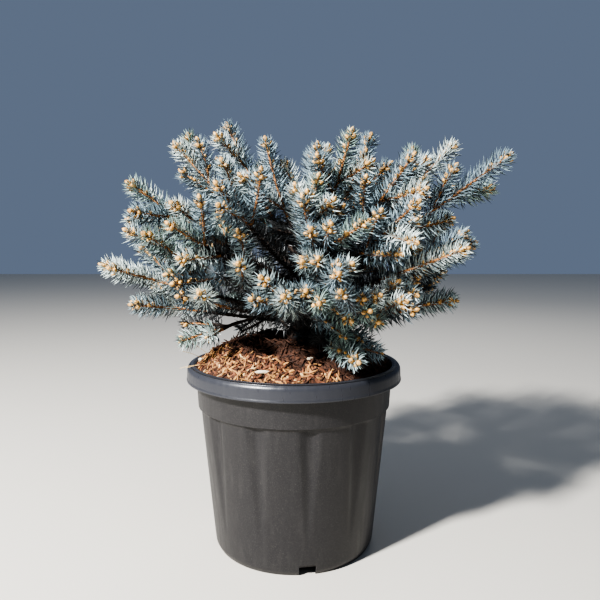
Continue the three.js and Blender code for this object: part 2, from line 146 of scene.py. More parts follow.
# Buds: their number round a main shoot's tip, round a twig's and along a shoot, each as the least and how
# many numbers there are from it; the size of a twig's and the least round a tip, as shares of the full
# length; how far from its shoot's line or tip one is seated; and for those along a shoot the distance of
# the first from the tip, the step, how far one strays, and the share of the shoot that has none.
MAIN_CLUSTER, TWIG_CLUSTER, SIDE_BUDS = (4, 3), (2, 2), (3, 4)
TWIG_BUD, LEAST_BUD, BUD_SEAT = 0.85, 0.78, 1.5
FIRST_BUD, BUD_STEP, BUD_STRAY, BUDS_FROM = 8, 7.5, 4, 0.3

# Where each repeatable sequence of numbers starts.
TWIG_SEED, CHIP_SEED, WHITE_CHIP_SEED, NEEDLE_SEED, BUD_SEED = 500, 40, 70, 82, 91

# The camera as it was fitted to the pot in the photograph, in metres, and the lamps: place, power and size.
CAMERA_PLACE, CAMERA_TILT = (0.00848, -0.8629, 0.4358), math.radians(90 - 6.033)
SENSOR, LENS, NEAREST = 36.0, 37.15, 0.05
LAMPS = (
    ("key", (-1.7, -1.75, 2.1), 285, 0.25),
    ("fill", (2.2, -1.9, 1.2), 2.5, 2.0),
    ("rim", (0.6, 2.1, 1.9), 8, 1.2),
)
LAMPS_AIM = (0, 0, 0.3)
FLOOR_HALF = 6000.0

# Each mass of foliage: azimuth from the front to the right, elevation, reach, side shoots, and whether a
# bough carries it.
MASSES = (
    ("top_left", -97, 51, 286, 3, True),
    ("top_back_left", -128, 61, 297, 3, True),
    ("top_mid_left", -100, 77, 232, 2, False),
    ("top_leader", 147, 80, 226, 2, False),
    ("top_front_right", 43, 68, 243, 3, False),
    ("top_mid_right", 105, 67, 254, 2, False),
    ("top_right", 62, 51, 250, 3, False),
    ("top_far_right", 103, 45, 320, 3, True),
    ("top_back_mid_left", -150, 43, 278, 3, True),
    ("top_back_right", 140, 44, 282, 3, True),
    ("top_back", 174, 57, 270, 2, True),
    ("high_front_left", -36, 42, 230, 3, False),
    ("high_front", 2, 46, 200, 3, False),
    ("high_front_right", 45, 35, 232, 3, False),
    ("high_right", 82, 36, 340, 3, True),
    ("high_left", -80, 35, 284, 3, True),
    ("high_back_left", -117, 31, 275, 3, True),
    ("high_back_right", 125, 23, 278, 3, True),
    ("mid_front_left", -52, 28, 230, 3, False),
    ("mid_left", -70, 23, 257, 3, True),
    ("mid_front", 9, 29, 218, 3, False),
    ("mid_right", 62, 19, 240, 3, False),
    ("mid_far_right", 92, 19, 256, 3, True),
    ("mid_back", 178, 29, 254, 2, True),
    ("mid_back_left", -146, 16, 262, 2, True),
    ("low_far_left", -88, 11, 283, 3, True),
    ("mid_back_right", 152, 12, 260, 2, True),
    ("low_front_left", -30, 15, 206, 3, False),
    ("low_front_mid", 10, 14, 222, 3, False),
    ("low_left", -92, 0, 240, 3, False),
    ("low_left_inner", -50, 6, 196, 2, False),
    ("low_front", -6, 8, 203, 3, False),
    ("low_front_right", 22, 3, 197, 3, False),
    ("low_right_inner", 44, 2, 192, 2, False),
    ("low_right", 76, 2, 208, 3, False),
    ("low_back_left", -125, -3, 215, 3, False),
    ("low_back", -170, -4, 205, 2, False),
    ("low_back_right", 130, -4, 210, 3, False),
    ("droop_left", -66, -14, 180, 2, False),
    ("droop_right", 27, -18, 154, 2, False),
)

# Side shoots that reach the crown's surface where it shows them, and round the back where it would be thin,
# by mass: the share of its stem where each springs, then azimuth, elevation and reach of its tip.
SPRAYS = {
    "top_left": ((0.76, -107, 54, 295), (0.58, -95, 57, 269), (0.48, -97, 47, 252)),
    "high_front_left": ((0.68, -23, 53, 214), (0.76, -33, 36, 219)),
    "mid_front_left": ((0.79, -44, 38, 224), (0.68, -49, 19, 206), (0.5, -39, 38, 160)),
    "high_left": ((0.56, -95, 25, 276), (0.12, -96, 46, 172)),
    "low_front_left": ((0.75, -22, 18, 202),),
    "low_front": ((0.78, -14, 14, 195), (0.67, -19, 7, 179), (0.59, 1, 10, 191), (0.42, 12, -4, 131)),
    "mid_left": ((0.26, -69, 13, 193),),
    "low_left": ((0.78, -83, 0, 234), (0.73, -107, 5, 237)),
    "low_left_inner": ((0.81, -37, 8, 200),),
    "low_front_mid": (
        (0.67, -6, 8, 201), (0.75, 11, 17, 211), (0.59, 5, 20, 201), (0.52, 19, -1, 168),
        (0.33, 17, -8, 125), (0.67, 5, 6, 200), (0.71, 16, 18, 202),
    ),
    "mid_front": ((0.7, 3, 30, 201), (0.62, 0, 45, 195), (0.79, 23, 31, 213), (0.71, 0, 20, 191)),
    "high_front": ((0.65, 11, 59, 193), (0.56, -6, 60, 179)),
    "top_right": ((0.84, 81, 49, 259), (0.75, 60, 41, 232)),
    "high_right": ((0.46, 79, 42, 276), (0.24, 76, 30, 232)),
    "high_front_right": ((0.65, 36, 38, 199), (0.78, 39, 23, 222), (0.59, 40, 22, 193)),
    "mid_right": ((0.81, 75, 24, 241), (0.58, 52, 7, 178)),
    "mid_far_right": ((0.56, 88, 18, 238), (0.36, 93, 12, 205), (0.58, 101, 28, 235)),
    "low_right_inner": (
        (0.65, 47, 13, 163), (0.73, 41, 5, 185), (0.44, 33, -15, 139), (0.36, 49, -22, 127),
    ),
    "low_front_right": ((0.87, 11, 9, 215), (0.73, 20, 7, 197), (0.65, 29, 8, 182), (0.47, 21, -11, 146)),
    "low_right": ((0.79, 88, 2, 210),),
    "droop_right": (
        (0.44, 19, -22, 123), (0.68, 45, -21, 150), (0.36, 12, -18, 116), (0.58, 21, -18, 149),
        (0.72, 24, -19, 169), (0.24, -6, -33, 70), (0.34, 7, -31, 82),
    ),
    "droop_left": ((0.62, -51, -12, 160), (0.24, -21, -26, 64), (0.26, -65, -21, 97)),
    "low_back_left": ((0.3, -119, -23, 118), (0.8, -123, 12, 226)),
    "mid_back": ((0.31, -175, 13, 199),),
    "mid_back_right": (
        (0.25, 158, -6, 203), (0.36, 154, 28, 208), (0.15, 168, 5, 200), (0.47, 140, 10, 213),
    ),
    "mid_back_left": ((0.34, -152, 3, 205), (0.44, -140, 5, 213), (0.23, -163, 15, 202)),
    "low_back_right": ((0.88, 118, -3, 230), (0.8, 127, 8, 223)),
    "high_back_left": ((0.47, -104, 37, 231), (0.36, -110, 15, 234), (0.58, -101, 27, 235)),
    "high_back_right": ((0.44, 114, 31, 229), (0.36, 115, 6, 232)),
    "top_back": ((0.28, 176, 44, 208),),
    "top_back_mid_left": ((0.36, -132, 43, 220),),
    "top_far_right": ((0.25, 108, 56, 225),),
    "top_mid_right": ((0.69, 133, 64, 220), (0.61, 88, 58, 226), (0.26, -143, 66, 99)),
    "top_mid_left": ((0.24, -105, 66, 115), (0.3, -119, 49, 102), (0.36, -108, 52, 115)),
    "top_leader": ((0.24, -141, 79, 148),),
}


def linear(hex_colour):
    """An sRGB colour written as hex, as the linear RGBA that shaders and colour properties take."""
    channels = [int(hex_colour[i : i + 2], 16) / 255 for i in (0, 2, 4)]
    return (*[c / 12.92 if c <= 0.04045 else ((c + 0.055) / 1.055) ** 2.4 for c in channels], 1.0)


def colour(label, hex_colour, words):
    default = linear(hex_colour)
    return FloatVectorProperty(name=label, description=words, subtype="COLOR", size=4, default=default)


def size(label, millimetres, words):
    return FloatProperty(name=label, description=words, unit="LENGTH", default=millimetres * MM, precision=4)


def degrees(label, value, words):
    return FloatProperty(name=label, description=words, subtype="ANGLE", default=math.radians(value))


class SprucePot(bpy.types.PropertyGroup):
    flute_count: IntProperty(name="Flutes", description="Flutes round the pot's wall", default=12, min=0)
    flute_depth: size("Flute depth", 5.2, "How deep a flute is just under the collar")
    flute_turn: degrees("Flute turn", 9.3, "Where the first flute stands")
    plastic: colour("Pot", "232224", "Anthracite plastic")
    # The rim's lighter, bluer tint is partly a painted reflection of the sky.
    rim_plastic_and_reflection: colour("Rim", "35363b", "The smoother plastic of the rim")
    speck: colour("Specks", "53504d", "Pale mineral specks in the plastic")


class SpruceMulch(bpy.types.PropertyGroup):
    chip_length: size("Chip length", 12.2, "Length of a usual bark chip")
    chip_spacing: size("Chip spacing", 3.9, "Least distance between two chips of a colour")
    humus: colour("Humus", "2a1a12", "Dark fines between the chips")


class SpruceFoliage(bpy.types.PropertyGroup):
    needle_length: size("Needle length", 22, "Length of a needle in the middle of a shoot")
    needle_width: size("Needle width", 1.48, "Thickness of a needle, a little over life so that it shows")
    needle_spacing: size("Needle spacing", 0.65, "Distance along a shoot from one needle to the next")
    needle_lean: degrees("Needle lean", 66, "Angle between needle and shoot")
    needle_lift: FloatProperty(name="Needle lift", description="How far they turn up to light", default=0.18)
    twig_spacing: size("Twig spacing", 38, "Distance between fine twigs along a shoot")
    bud_length: size("Bud length", 9.0, "Length of a winter bud")


def feed(tree, node, links):
    """Gives a node its inputs by index or name, each a value or another node's socket."""
    for key, value in links.items():
        socket = node.inputs[key]
        if isinstance(value, bpy.types.NodeSocket):
            tree.links.new(value, socket)
        else:
            socket.default_value = value


def add(tree, kind, links=None, **settings):
    made = tree.nodes.new(kind)
    for key, value in settings.items():
        setattr(made, key, value)
    feed(tree, made, links or {})
    return made


def get(tree, kind, links=None, **settings):
    """A new node's first result."""
    return add(tree, kind, links, **settings).outputs[0]


def calc(tree, operation, *values, **settings):
    return get(tree, "ShaderNodeMath", dict(enumerate(values)), operation=operation, **settings)


def calc_vector(tree, operation, vector, *others):
    links = {0: vector} | {"Scale" if operation == "SCALE" else 1: other for other in others}
    return get(tree, "ShaderNodeVectorMath", links, operation=operation)


def at_random(tree, low, high, seed):
    """A random number, or a random vector if its limits are vectors."""
    kind, first = ("FLOAT_VECTOR", 0) if isinstance(low, tuple) else ("FLOAT", 2)
    links = {first: low, first + 1: high, "Seed": seed}
    return add(tree, "FunctionNodeRandomValue", links, data_type=kind).outputs[first // 2]


def named(tree, name, kind="FLOAT"):
    return get(tree, "GeometryNodeInputNamedAttribute", {"Name": name}, data_type=kind)


def noise_at(tree, place, scale, detail, roughness=0.5):
    links = {"Vector": place, "Scale": scale, "Detail": detail, "Roughness": roughness}
    return add(tree, "ShaderNodeTexNoise", links).outputs["Fac"]


def ranged(tree, value, *limits):
    """A value mapped from the range of its first two limits to that of the next two, or to 0 to 1."""
    return get(tree, "ShaderNodeMapRange", dict(enumerate((value, *limits))))


def mixed(tree, share, first, second):
    return add(tree, "ShaderNodeMix", {0: share, 6: first, 7: second}, data_type="RGBA").outputs[2]


def bumped(tree, height, strength, depth):
    return get(tree, "ShaderNodeBump", {"Strength": strength, "Distance": depth, "Height": height})


def moved_by(tree, geometry, offset):
    return get(tree, "GeometryNodeSetPosition", {"Geometry": geometry, "Offset": offset})


def copies_on(tree, points, source, rotation, scale, selection=True):
    """Copies of an object on points."""
    copied = add(tree, "GeometryNodeObjectInfo", {"Object": source}).outputs["Geometry"]
    links = {"Points": points, "Selection": selection, "Instance": copied}
    links |= {"Rotation": rotation, "Scale": scale}
    return get(tree, "GeometryNodeInstanceOnPoints", links)


def seeded(seed):
    """A repeatable sequence of numbers from 0 to 1."""
    state = (seed * 7919 + 17) % 2147483647

    def draw():
        nonlocal state
        state = (state * 16807) % 2147483647
        return state / 2147483647

    return draw


def unit(vector):
    return vector / np.linalg.norm(vector)


def turned_about(vector, axis, angle):
    """A vector turned round an axis."""
    return (
        vector * math.cos(angle)
        + np.cross(axis, vector) * math.sin(angle)
        + axis * np.dot(axis, vector) * (1 - math.cos(angle))
    )


def at(curve, share):
    """The point or points of a bent line at a share or shares of it."""
    t = np.asarray(share, float)[..., None]
    return (1 - t) ** 2 * curve[0] + 2 * (1 - t) * t * curve[1] + t**2 * curve[2]


def heading(curve, share):
    t = float(share)
    return unit(2 * (1 - t) * (curve[1] - curve[0]) + 2 * t * (curve[2] - curve[1]))


def points_of(curve, count):
    return at(curve, np.linspace(0, 1, count + 1))


def length_of(curve):
    return float(np.linalg.norm(np.diff(points_of(curve, 200), axis=0), axis=1).sum())


def pieces_of(curve, radius=0.0):
    """A line as short straight pieces, each with its two ends and its radius."""
    points = points_of(curve, max(2, math.ceil(length_of(curve) / 12)))
    return np.hstack([points[:-1], points[1:], np.full((len(points) - 1, 1), radius)])


def room_to(points, pieces):
    """The least distance from each point to any of the pieces, less their radius."""
    points = np.atleast_2d(points)
    if len(pieces) == 0:
        return np.full(len(points), np.inf)
    start, step, radius = pieces[:, :3], pieces[:, 3:6] - pieces[:, :3], pieces[:, 6]
    offset = points[:, None, :] - start[None]
    share = np.clip((offset * step).sum(2) / (step**2).sum(1), 0, 1)
    return (np.linalg.norm(offset - share[..., None] * step, axis=2) - radius).min(1)


def mulch_height(x, y):
    """The mound's height over a point: a dome with lumps that die out at its flat crown and its edge."""
    out = np.hypot(x, y) / (COLLAR_TOP_RADIUS - WALL)
    flat = MULCH_FLAT / (COLLAR_TOP_RADIUS - WALL)
    share = np.clip((out - flat) / (1 - flat), 0, 1)
    dome = MULCH_CROWN + (MULCH_EDGE - MULCH_CROWN) * share**MULCH_FULLNESS
    waves = np.sin(x / 11 + 1.3) * np.cos(y / 13 - 0.4) + 0.6 * np.sin((x + y) / 7.3)
    return dome + MULCH_LUMP * waves * np.sin(np.pi * share)


def room_to_pot(points):
    """The room over the mulch and beside the pot's rim."""
    points = np.atleast_2d(points)
    out = np.hypot(points[:, 0], points[:, 1])
    over = points[:, 2] - mulch_height(points[:, 0], points[:, 1]) - 2
    beside = np.hypot(np.maximum(0, out - RIM_RADIUS), np.maximum(0, points[:, 2] - POT_HEIGHT)) - 1
    return np.where(out < COLLAR_TOP_RADIUS - 4, over, beside)


def outward_at(azimuth):
    turn = math.radians(azimuth)
    return np.array([math.sin(turn), -math.cos(turn), 0.0])


def tip_at(azimuth, elevation, reach):
    """The place at an azimuth, an elevation and a reach from the crown's centre."""
    rise = math.radians(elevation)
    return CROWN_CENTRE + outward_at(azimuth) * reach * math.cos(rise) + UP * reach * math.sin(rise)


def limb_curve(azimuth, elevation, reach, foot):
    """The line of a whole limb, from a share of the trunk's axis to the tip of its leading shoot."""
    tip, start = tip_at(azimuth, elevation, reach), at(TRUNK, foot)
    level = math.hypot(tip[0] - start[0], tip[1] - start[1])
    bend = start + outward_at(azimuth) * (BEND_OUT * level + BEND_MORE) + UP * BEND_UP * (tip[2] - start[2])
    return np.array([start, bend, tip])


def split(curve, share):
    middle = at(curve, share)
    before = curve[0] + share * (curve[1] - curve[0])
    after = curve[1] + share * (curve[2] - curve[1])
    return np.array([curve[0], before, middle]), np.array([middle, after, curve[2]])


def side_curve(stem, share, roll, angle, length):
    """A side shoot's line: it leaves its stem at a share of it and bends towards the stem's own way."""
    start, along = at(stem, share), heading(stem, share)
    across = np.cross(along, UP)
    if np.linalg.norm(across) < 0.2:
        across = np.array([1.0, 0.0, 0.0])
    across = turned_about(unit(across), along, roll)
    leave = turned_about(along, unit(np.cross(along, across)), -angle)
    end = unit(0.7 * leave + 0.3 * along)
    bend = start + leave * 0.5 * length
    return np.array([start, bend, bend + end * 0.5 * length])


def clearest_limb(azimuth, elevation, reach, laid):
    """A limb moved up or down the trunk to where it best clears the limbs laid before it."""
    trunk_line = pieces_of(TRUNK)
    best, most = None, -math.inf
    for shift in FOOT_SHIFTS:
        up = (elevation - LOWEST_ELEVATION) / ELEVATION_RANGE
        foot = LOWEST_FOOT + (HIGHEST_FOOT - LOWEST_FOOT) * up + shift
        curve = limb_curve(azimuth, elevation, reach, max(LOWEST_FOOT, foot))
        points = points_of(curve, 24)
        outer = points[room_to(points, trunk_line) > TRUNK_TIP_RADIUS + BOUGH_FOOT_RADIUS]
        room = min(FOOT_ROOM, float(room_to(outer, laid).min()))
        if room > most:
            best, most = curve, room
    return best


# A shoot: its curve, the share from which it bears needles, its rank from the stem (0) to a twig (2), and
# whether it is one of the SPRAYS that reach the light.
Shoot = namedtuple("Shoot", "curve bare rank seen", defaults=(False,))


class Limb:
    """A bough, where there is one, with its mass: a stem and the shoots on it."""

    def __init__(self, index, row, laid):
        self.name, azimuth, elevation, reach, self.sides, self.carried = row
        self.whole = clearest_limb(azimuth, elevation, reach, laid)
        self.bough, self.stem = split(self.whole, BOUGH_SHARE) if self.carried else (None, self.whole)
        self.shoots = [Shoot(self.stem, 0.0 if self.carried else STEM_BARE, 0)]
        self.draw = seeded(index + 1)

    def lines(self):
        return np.vstack([pieces_of(shoot.curve) for shoot in self.shoots])


def side_of(stem, share, turn, growth, draw):
    """A side shoot from a share of a stem; its roll, angle and length are drawn in that order."""
    roll = (math.pi if turn % 2 else 0) + (draw() - 0.5) * math.radians(growth.spread)
    angle = math.radians(growth.angle + growth.wider * draw())
    length = min(growth.longest, growth.part * (1 - share) * length_of(stem) + growth.least)
    return side_curve(stem, share, roll, angle, length * (growth.shortest + growth.varies * draw()))


def add_side(limb, turn, others, bough_pieces):
    """One more side shoot on a limb's stem, where one of a few tries finds room for it."""
    first = FIRST_SIDE_ON_BOUGH if limb.carried else FIRST_SIDE
    for _ in range(SIDE_TRIES):
        share = first + (LAST_SIDE - first) * ((turn + 0.5 * limb.draw()) / limb.sides)
        curve = side_of(limb.stem, share, turn, SIDE_GROWTH, limb.draw)
        outer = points_of(curve, 6)[2:]
        shoots = np.vstack([others] + [pieces_of(shoot.curve) for shoot in limb.shoots[1:]])
        room = min(room_to(outer, bough_pieces).min(), room_to_pot(outer).min())
        if room_to(outer, shoots).min() > SIDE_SPACING and room > SIDE_SPACING / 2:
            limb.shoots.append(Shoot(curve, SIDE_BARE, 1))
            return


def add_twigs(limb, laid, spacing):
    """Finer twigs on every shoot of a mass, where there is room for them."""
    draw = seeded(TWIG_SEED + len(laid))
    for curve, bare, _, _ in list(limb.shoots):
        count = int(length_of(curve) * (TWIGS_UNTIL - bare) / spacing)
        for i in range(count):
            share = bare + FIRST_TWIG + (TWIG_SPREAD - bare) * (i + TWIG_STRAY * draw()) / count
            twig = side_of(curve, share, i, TWIG_GROWTH, draw)
            outer = points_of(twig, 5)[2:]
            room = min(room_to(outer, np.vstack(laid)).min(), room_to_pot(outer).min())
            if room > TWIG_ROOM and above_skirt(limb, twig):
                limb.shoots.append(Shoot(twig, TWIG_BARE, 2))
                laid.append(pieces_of(twig))


def in_recess(points):
    """Whether each point stands in a hollow of the crown."""
    off = (np.asarray(points)[..., None, :] - RECESSES[:, :3]) / RECESSES[:, 3:]
    return (np.linalg.norm(off, axis=-1) < 1).any(-1)


def under_skirt(points):
    """Which points at the front left are so low that wood is bare, and which keep short needles."""
    x, y, z = points.T
    beneath = (x < BARE_RIGHT) & (x > BARE_LEFT) & (y < BARE_BACK) & (z > BARE_FOOT)
    return beneath & (z < BARE_HEIGHT), beneath & (z < LEFT_SKIRT_HEIGHT)


def above_skirt(limb, curve):
    """Whether a shoot keeps out of the open space over the pot, as all but those of drooping limbs do."""
    if limb.name in LATE_NEEDLES:
        clothed = (1 - LATE_NEEDLES[limb.name]) * length_of(limb.stem)
        return np.linalg.norm(curve[0] - limb.stem[2]) < clothed
    x, y, z = curve[2]
    lowest = LEFT_SKIRT_HEIGHT if x < SKIRT_LEFT and y < SKIRT_BACK else SKIRT_HEIGHT
    return limb.name.startswith("droop") or z > lowest


def spray_on(limb, share, azimuth, elevation, reach):
    """A shoot from a share of a limb's stem to its place at the crown's surface."""
    start, along, tip = at(limb.stem, share), heading(limb.stem, share), tip_at(azimuth, elevation, reach)
    way = tip - start
    aside = unit(way - along * np.dot(way, along))
    curve = np.array([start, start + 0.5 * way + SPRAY_BOW * np.linalg.norm(way) * aside, tip])
    return Shoot(curve, SIDE_BARE, 1, reach > LIT_REACH)


def add_sprays(limbs):
    """The shoots of the SPRAYS table; a side shoot that would stand in one's way gives place to it."""
    added = {limb.name: [spray_on(limb, *row) for row in SPRAYS.get(limb.name, ())] for limb in limbs}
    lines = np.vstack([pieces_of(shoot.curve)[1:] for shoots in added.values() for shoot in shoots])
    for limb in limbs:
        limb.shoots[1:] = [
            shoot
            for shoot in limb.shoots[1:]
            if room_to(points_of(shoot.curve, 6)[3:], lines).min() > SPRAY_ROOM
            and above_skirt(limb, shoot.curve)
            and not in_recess(shoot.curve[2])
        ] + added[limb.name]
        if limb.name in LATE_NEEDLES:
            limb.shoots[0] = Shoot(limb.stem, LATE_NEEDLES[limb.name], 0, True)


def grow(spacing):
    """Every limb of the plant with its shoots and twigs, by the construction's rule carried a rank finer."""
    limbs, laid = [], np.empty((0, 7))
    for index, row in enumerate(MASSES):
        limb = Limb(index, row, laid)
        laid = np.vstack([laid, pieces_of(limb.whole)])
        limbs.append(limb)
    bough_pieces = np.vstack([pieces_of(limb.bough, BOUGH_FOOT_RADIUS) for limb in limbs if limb.carried])
    for turn in range(max(limb.sides for limb in limbs)):
        for limb in limbs:
            if turn < limb.sides:
                others = np.vstack([other.lines() for other in limbs if other is not limb])
                add_side(limb, turn, others, bough_pieces)
    add_sprays(limbs)
    laid = [bough_pieces] + [limb.lines() for limb in limbs]
    for limb in limbs:
        add_twigs(limb, laid, spacing)
    return limbs


def placed(name, data):
    """A new object of its data, linked to the scene."""
    made = bpy.data.objects.new(name, data)
    bpy.context.scene.collection.objects.link(made)
    return made


def result_of(source):
    """The mesh that an object's modifiers give."""
    depsgraph = bpy.context.evaluated_depsgraph_get()
    return bpy.data.meshes.new_from_object(source.evaluated_get(depsgraph), depsgraph=depsgraph)


def mesh_object(name, points, faces=(), edges=()):
    """An object at the origin with a mesh of points in millimetres."""
    mesh = bpy.data.meshes.new(name)
    mesh.from_pydata((np.asarray(points) * MM).tolist(), list(edges), list(faces))
    return placed(name, mesh)


def lines_object(name, lines):
    """Open lines as edges, each line (points, wood radii, needle lengths, leans), lengths in millimetres."""
    counts = [len(line[0]) for line in lines]
    starts = np.cumsum([0] + counts[:-1])
    edges = [(s + i, s + i + 1) for s, n in zip(starts.tolist(), counts) for i in range(n - 1)]
    made = mesh_object(name, np.vstack([line[0] for line in lines]), edges=edges)
    for label, column, unit_size in (("wood", 1, MM), ("needle", 2, MM), ("lean", 3, 1.0)):
        keep_on(made, label, np.concatenate([line[column] for line in lines]) * unit_size)
    return made


def keep_on(made, label, values):
    """Numbers, or vectors, kept on an object's points under a name."""
    kind, field = ("FLOAT_VECTOR", "vector") if values.ndim > 1 else ("FLOAT", "value")
    attribute = made.data.attributes.new(label, kind, "POINT")
    attribute.data.foreach_set(field, values.astype(np.float32).ravel())


def new_tree(name, **kinds):
    """A Geometry Nodes tree with a mesh and a material in, a mesh out and more inputs, named by kind."""
    tree = bpy.data.node_groups.new(name, "GeometryNodeTree")
    tree.interface.new_socket("Geometry", in_out="OUTPUT", socket_type="NodeSocketGeometry")
    for kind, labels in {"Geometry": ["Geometry"], "Material": ["Material"], **kinds}.items():
        for label in labels:
            tree.interface.new_socket(label, in_out="INPUT", socket_type="NodeSocket" + kind)
    return tree, add(tree, "NodeGroupInput").outputs


def close_tree(tree, geometry, material, smooth):
    """The tree's end: instances made real, shading and material set."""
    geometry = get(tree, "GeometryNodeRealizeInstances", {"Geometry": geometry})
    geometry = get(tree, "GeometryNodeSetShadeSmooth", {"Geometry": geometry, "Shade Smooth": smooth})
    geometry = get(tree, "GeometryNodeSetMaterial", {"Geometry": geometry, "Material": material})
    add(tree, "NodeGroupOutput", {"Geometry": geometry})
    return tree


def run_tree(source, tree, name, inputs):
    """The tree's result on an object as a plain mesh object, with the source object removed."""
    modifier = source.modifiers.new("shape", "NODES")
    modifier.node_group = tree
    for item in tree.interface.items_tree:
        if item.in_out == "INPUT" and item.name in inputs:
            modifier[item.identifier] = inputs[item.name]
    mesh = result_of(source)
    mesh.name = name
    bpy.data.objects.remove(source)
    return placed(name, mesh)


def seat(piece, replaced=()):
    """A finished piece rides on the plant's one body and stands for the nodes it replaces, which are hidden.
    """
    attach(piece, "root")
    if replaced:
        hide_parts(*replaced)


def new_material(name):
    material = bpy.data.materials.new(name)
    material.use_nodes = True
    tree = material.node_tree
    return material, tree, tree.nodes["Principled BSDF"]


def moulded_polypropylene(plastic, rim_plastic_and_reflection, speck):
    """Injection-moulded polypropylene: a satin skin, pale specks, faint flow streaks and a smoother rim,
    whose lighter, bluer tint is partly a painted reflection of the sky.
    """
    material, tree, shader = new_material("moulded_polypropylene")
    place = add(tree, "ShaderNodeTexCoord").outputs["Object"]
    specks = noise_at(tree, place, 1.3 / MM, 1.0, 0.6)
    stretched = get(tree, "ShaderNodeMapping", {"Vector": place, "Scale": (1.0, 1.0, 0.14)})
    streaks = noise_at(tree, stretched, 0.15 / MM, 4.0)
    height = add(tree, "ShaderNodeSeparateXYZ", {0: place}).outputs[2]
    lip = (POT_HEIGHT - RIM_BAND) * MM
    rim = ranged(tree, height, lip - MM, lip)
    spots, lines = ranged(tree, specks, 0.56, 0.74, 0, 0.7), ranged(tree, streaks, 0.5, 0.8, 0, 0.22)
    cover = calc(tree, "MAXIMUM", spots, lines)
    cover = calc(tree, "MULTIPLY", cover, calc(tree, "MULTIPLY_ADD", rim, -0.75, 1.0))
    tint = mixed(tree, cover, mixed(tree, rim, plastic, rim_plastic_and_reflection), speck)
    gloss = calc(tree, "MULTIPLY_ADD", rim, -0.08, ranged(tree, streaks, 0.3, 0.7, 0.34, 0.5))
    relief = bumped(tree, specks, 0.25, 0.4 * MM)
    feed(tree, shader, {"Base Color": tint, "Roughness": gloss, "Normal": relief})
    return material


def mottled(name, dark, light, grain, roughness, relief):
    """A rough natural surface of two colours, mottled and in relief at a grain in millimetres."""
    material, tree, shader = new_material(name)
    dark, light = (linear(tint) if isinstance(tint, str) else tuple(tint) for tint in (dark, light))
    place = add(tree, "ShaderNodeTexCoord").outputs["Object"]
    noise = noise_at(tree, place, 1 / (grain * MM), 5.0, 0.6)
    tint = mixed(tree, ranged(tree, noise, 0.35, 0.65), dark, light)
    relief = bumped(tree, noise, 0.6, relief * MM)
    feed(tree, shader, {"Base Color": tint, "Roughness": roughness, "Normal": relief})
    return material


def waxy_needles(name, hex_colour):
    """Living spruce needles under a bloom of wax: a matt, slightly sheeny skin with little variation."""
    material, tree, shader = new_material(name)
    place = add(tree, "ShaderNodeTexCoord").outputs["Object"]
    dark, light = ((*[c * k for c in linear(hex_colour)[:3]], 1.0) for k in (0.6, 1.25))
    tint = mixed(tree, ranged(tree, noise_at(tree, place, 0.26 / MM, 2.0), 0.3, 0.7), dark, light)
    feed(tree, shader, {"Base Color": tint, "Roughness": 0.42, "Sheen Weight": 0.25, "Sheen Roughness": 0.5})
    return material


def loft(name, rings):
    """A closed mesh through rings of points in millimetres; a ring may be one point."""
    rows, points, faces = [], [], []
    for ring in rings:
        rows.append(range(len(points), len(points) + len(ring)))
        points += list(ring)
    for low, high in zip(rows, rows[1:]):
        count = max(len(low), len(high))
        for i in range(count):
            j = (i + 1) % count
            corners = (low[i % len(low)], low[j % len(low)], high[j % len(high)], high[i % len(high)])
            face = tuple(dict.fromkeys(corners))
            if len(face) > 2:
                faces.append(face)
    faces += [tuple(row)[::way] for row, way in ((rows[0], -1), (rows[-1], 1)) if len(row) > 2]
    return mesh_object(name, points, faces)


def ring_of(sides, radius, height, start=0.0, aside=0.0):
    turns = [2 * math.pi * (i + start) / sides for i in range(sides)]
    return [(radius * math.cos(turn) + aside, radius * math.sin(turn), height) for turn in turns]


def lathe_object(name, outline, segments):
    """A closed outline of (radius, height) turned round Z, its points on the axis joined."""
    turns = [2 * math.pi * i / segments for i in range(segments)]
    rings = []
    for radius, height in outline:
        ring = [(radius * math.sin(turn), -radius * math.cos(turn), height) for turn in turns]
        rings.append(ring if radius > 1e-6 else [(0.0, 0.0, height)])
    return loft(name, rings)


def rounded(corners, steps=4):
    """An open outline of (radius, height, rounding) with its corners turned into arcs."""
    outline = []
    for i, (x, z, rounding) in enumerate(corners):
        here = np.array([x, z], float)
        if rounding == 0 or i in (0, len(corners) - 1):
            outline.append(tuple(here))
            continue
        before, after = (np.array(corners[j][:2], float) for j in (i - 1, i + 1))
        start, end = (here + unit(other - here) * rounding for other in (before, after))
        outline += [tuple(at(np.array([start, here, end]), k / steps)) for k in range(steps + 1)]
    return outline


def body_radius(height):
    return BODY_FOOT_RADIUS + (COLLAR_FOOT_RADIUS - LEDGE - BODY_FOOT_RADIUS) * height / COLLAR_BOTTOM


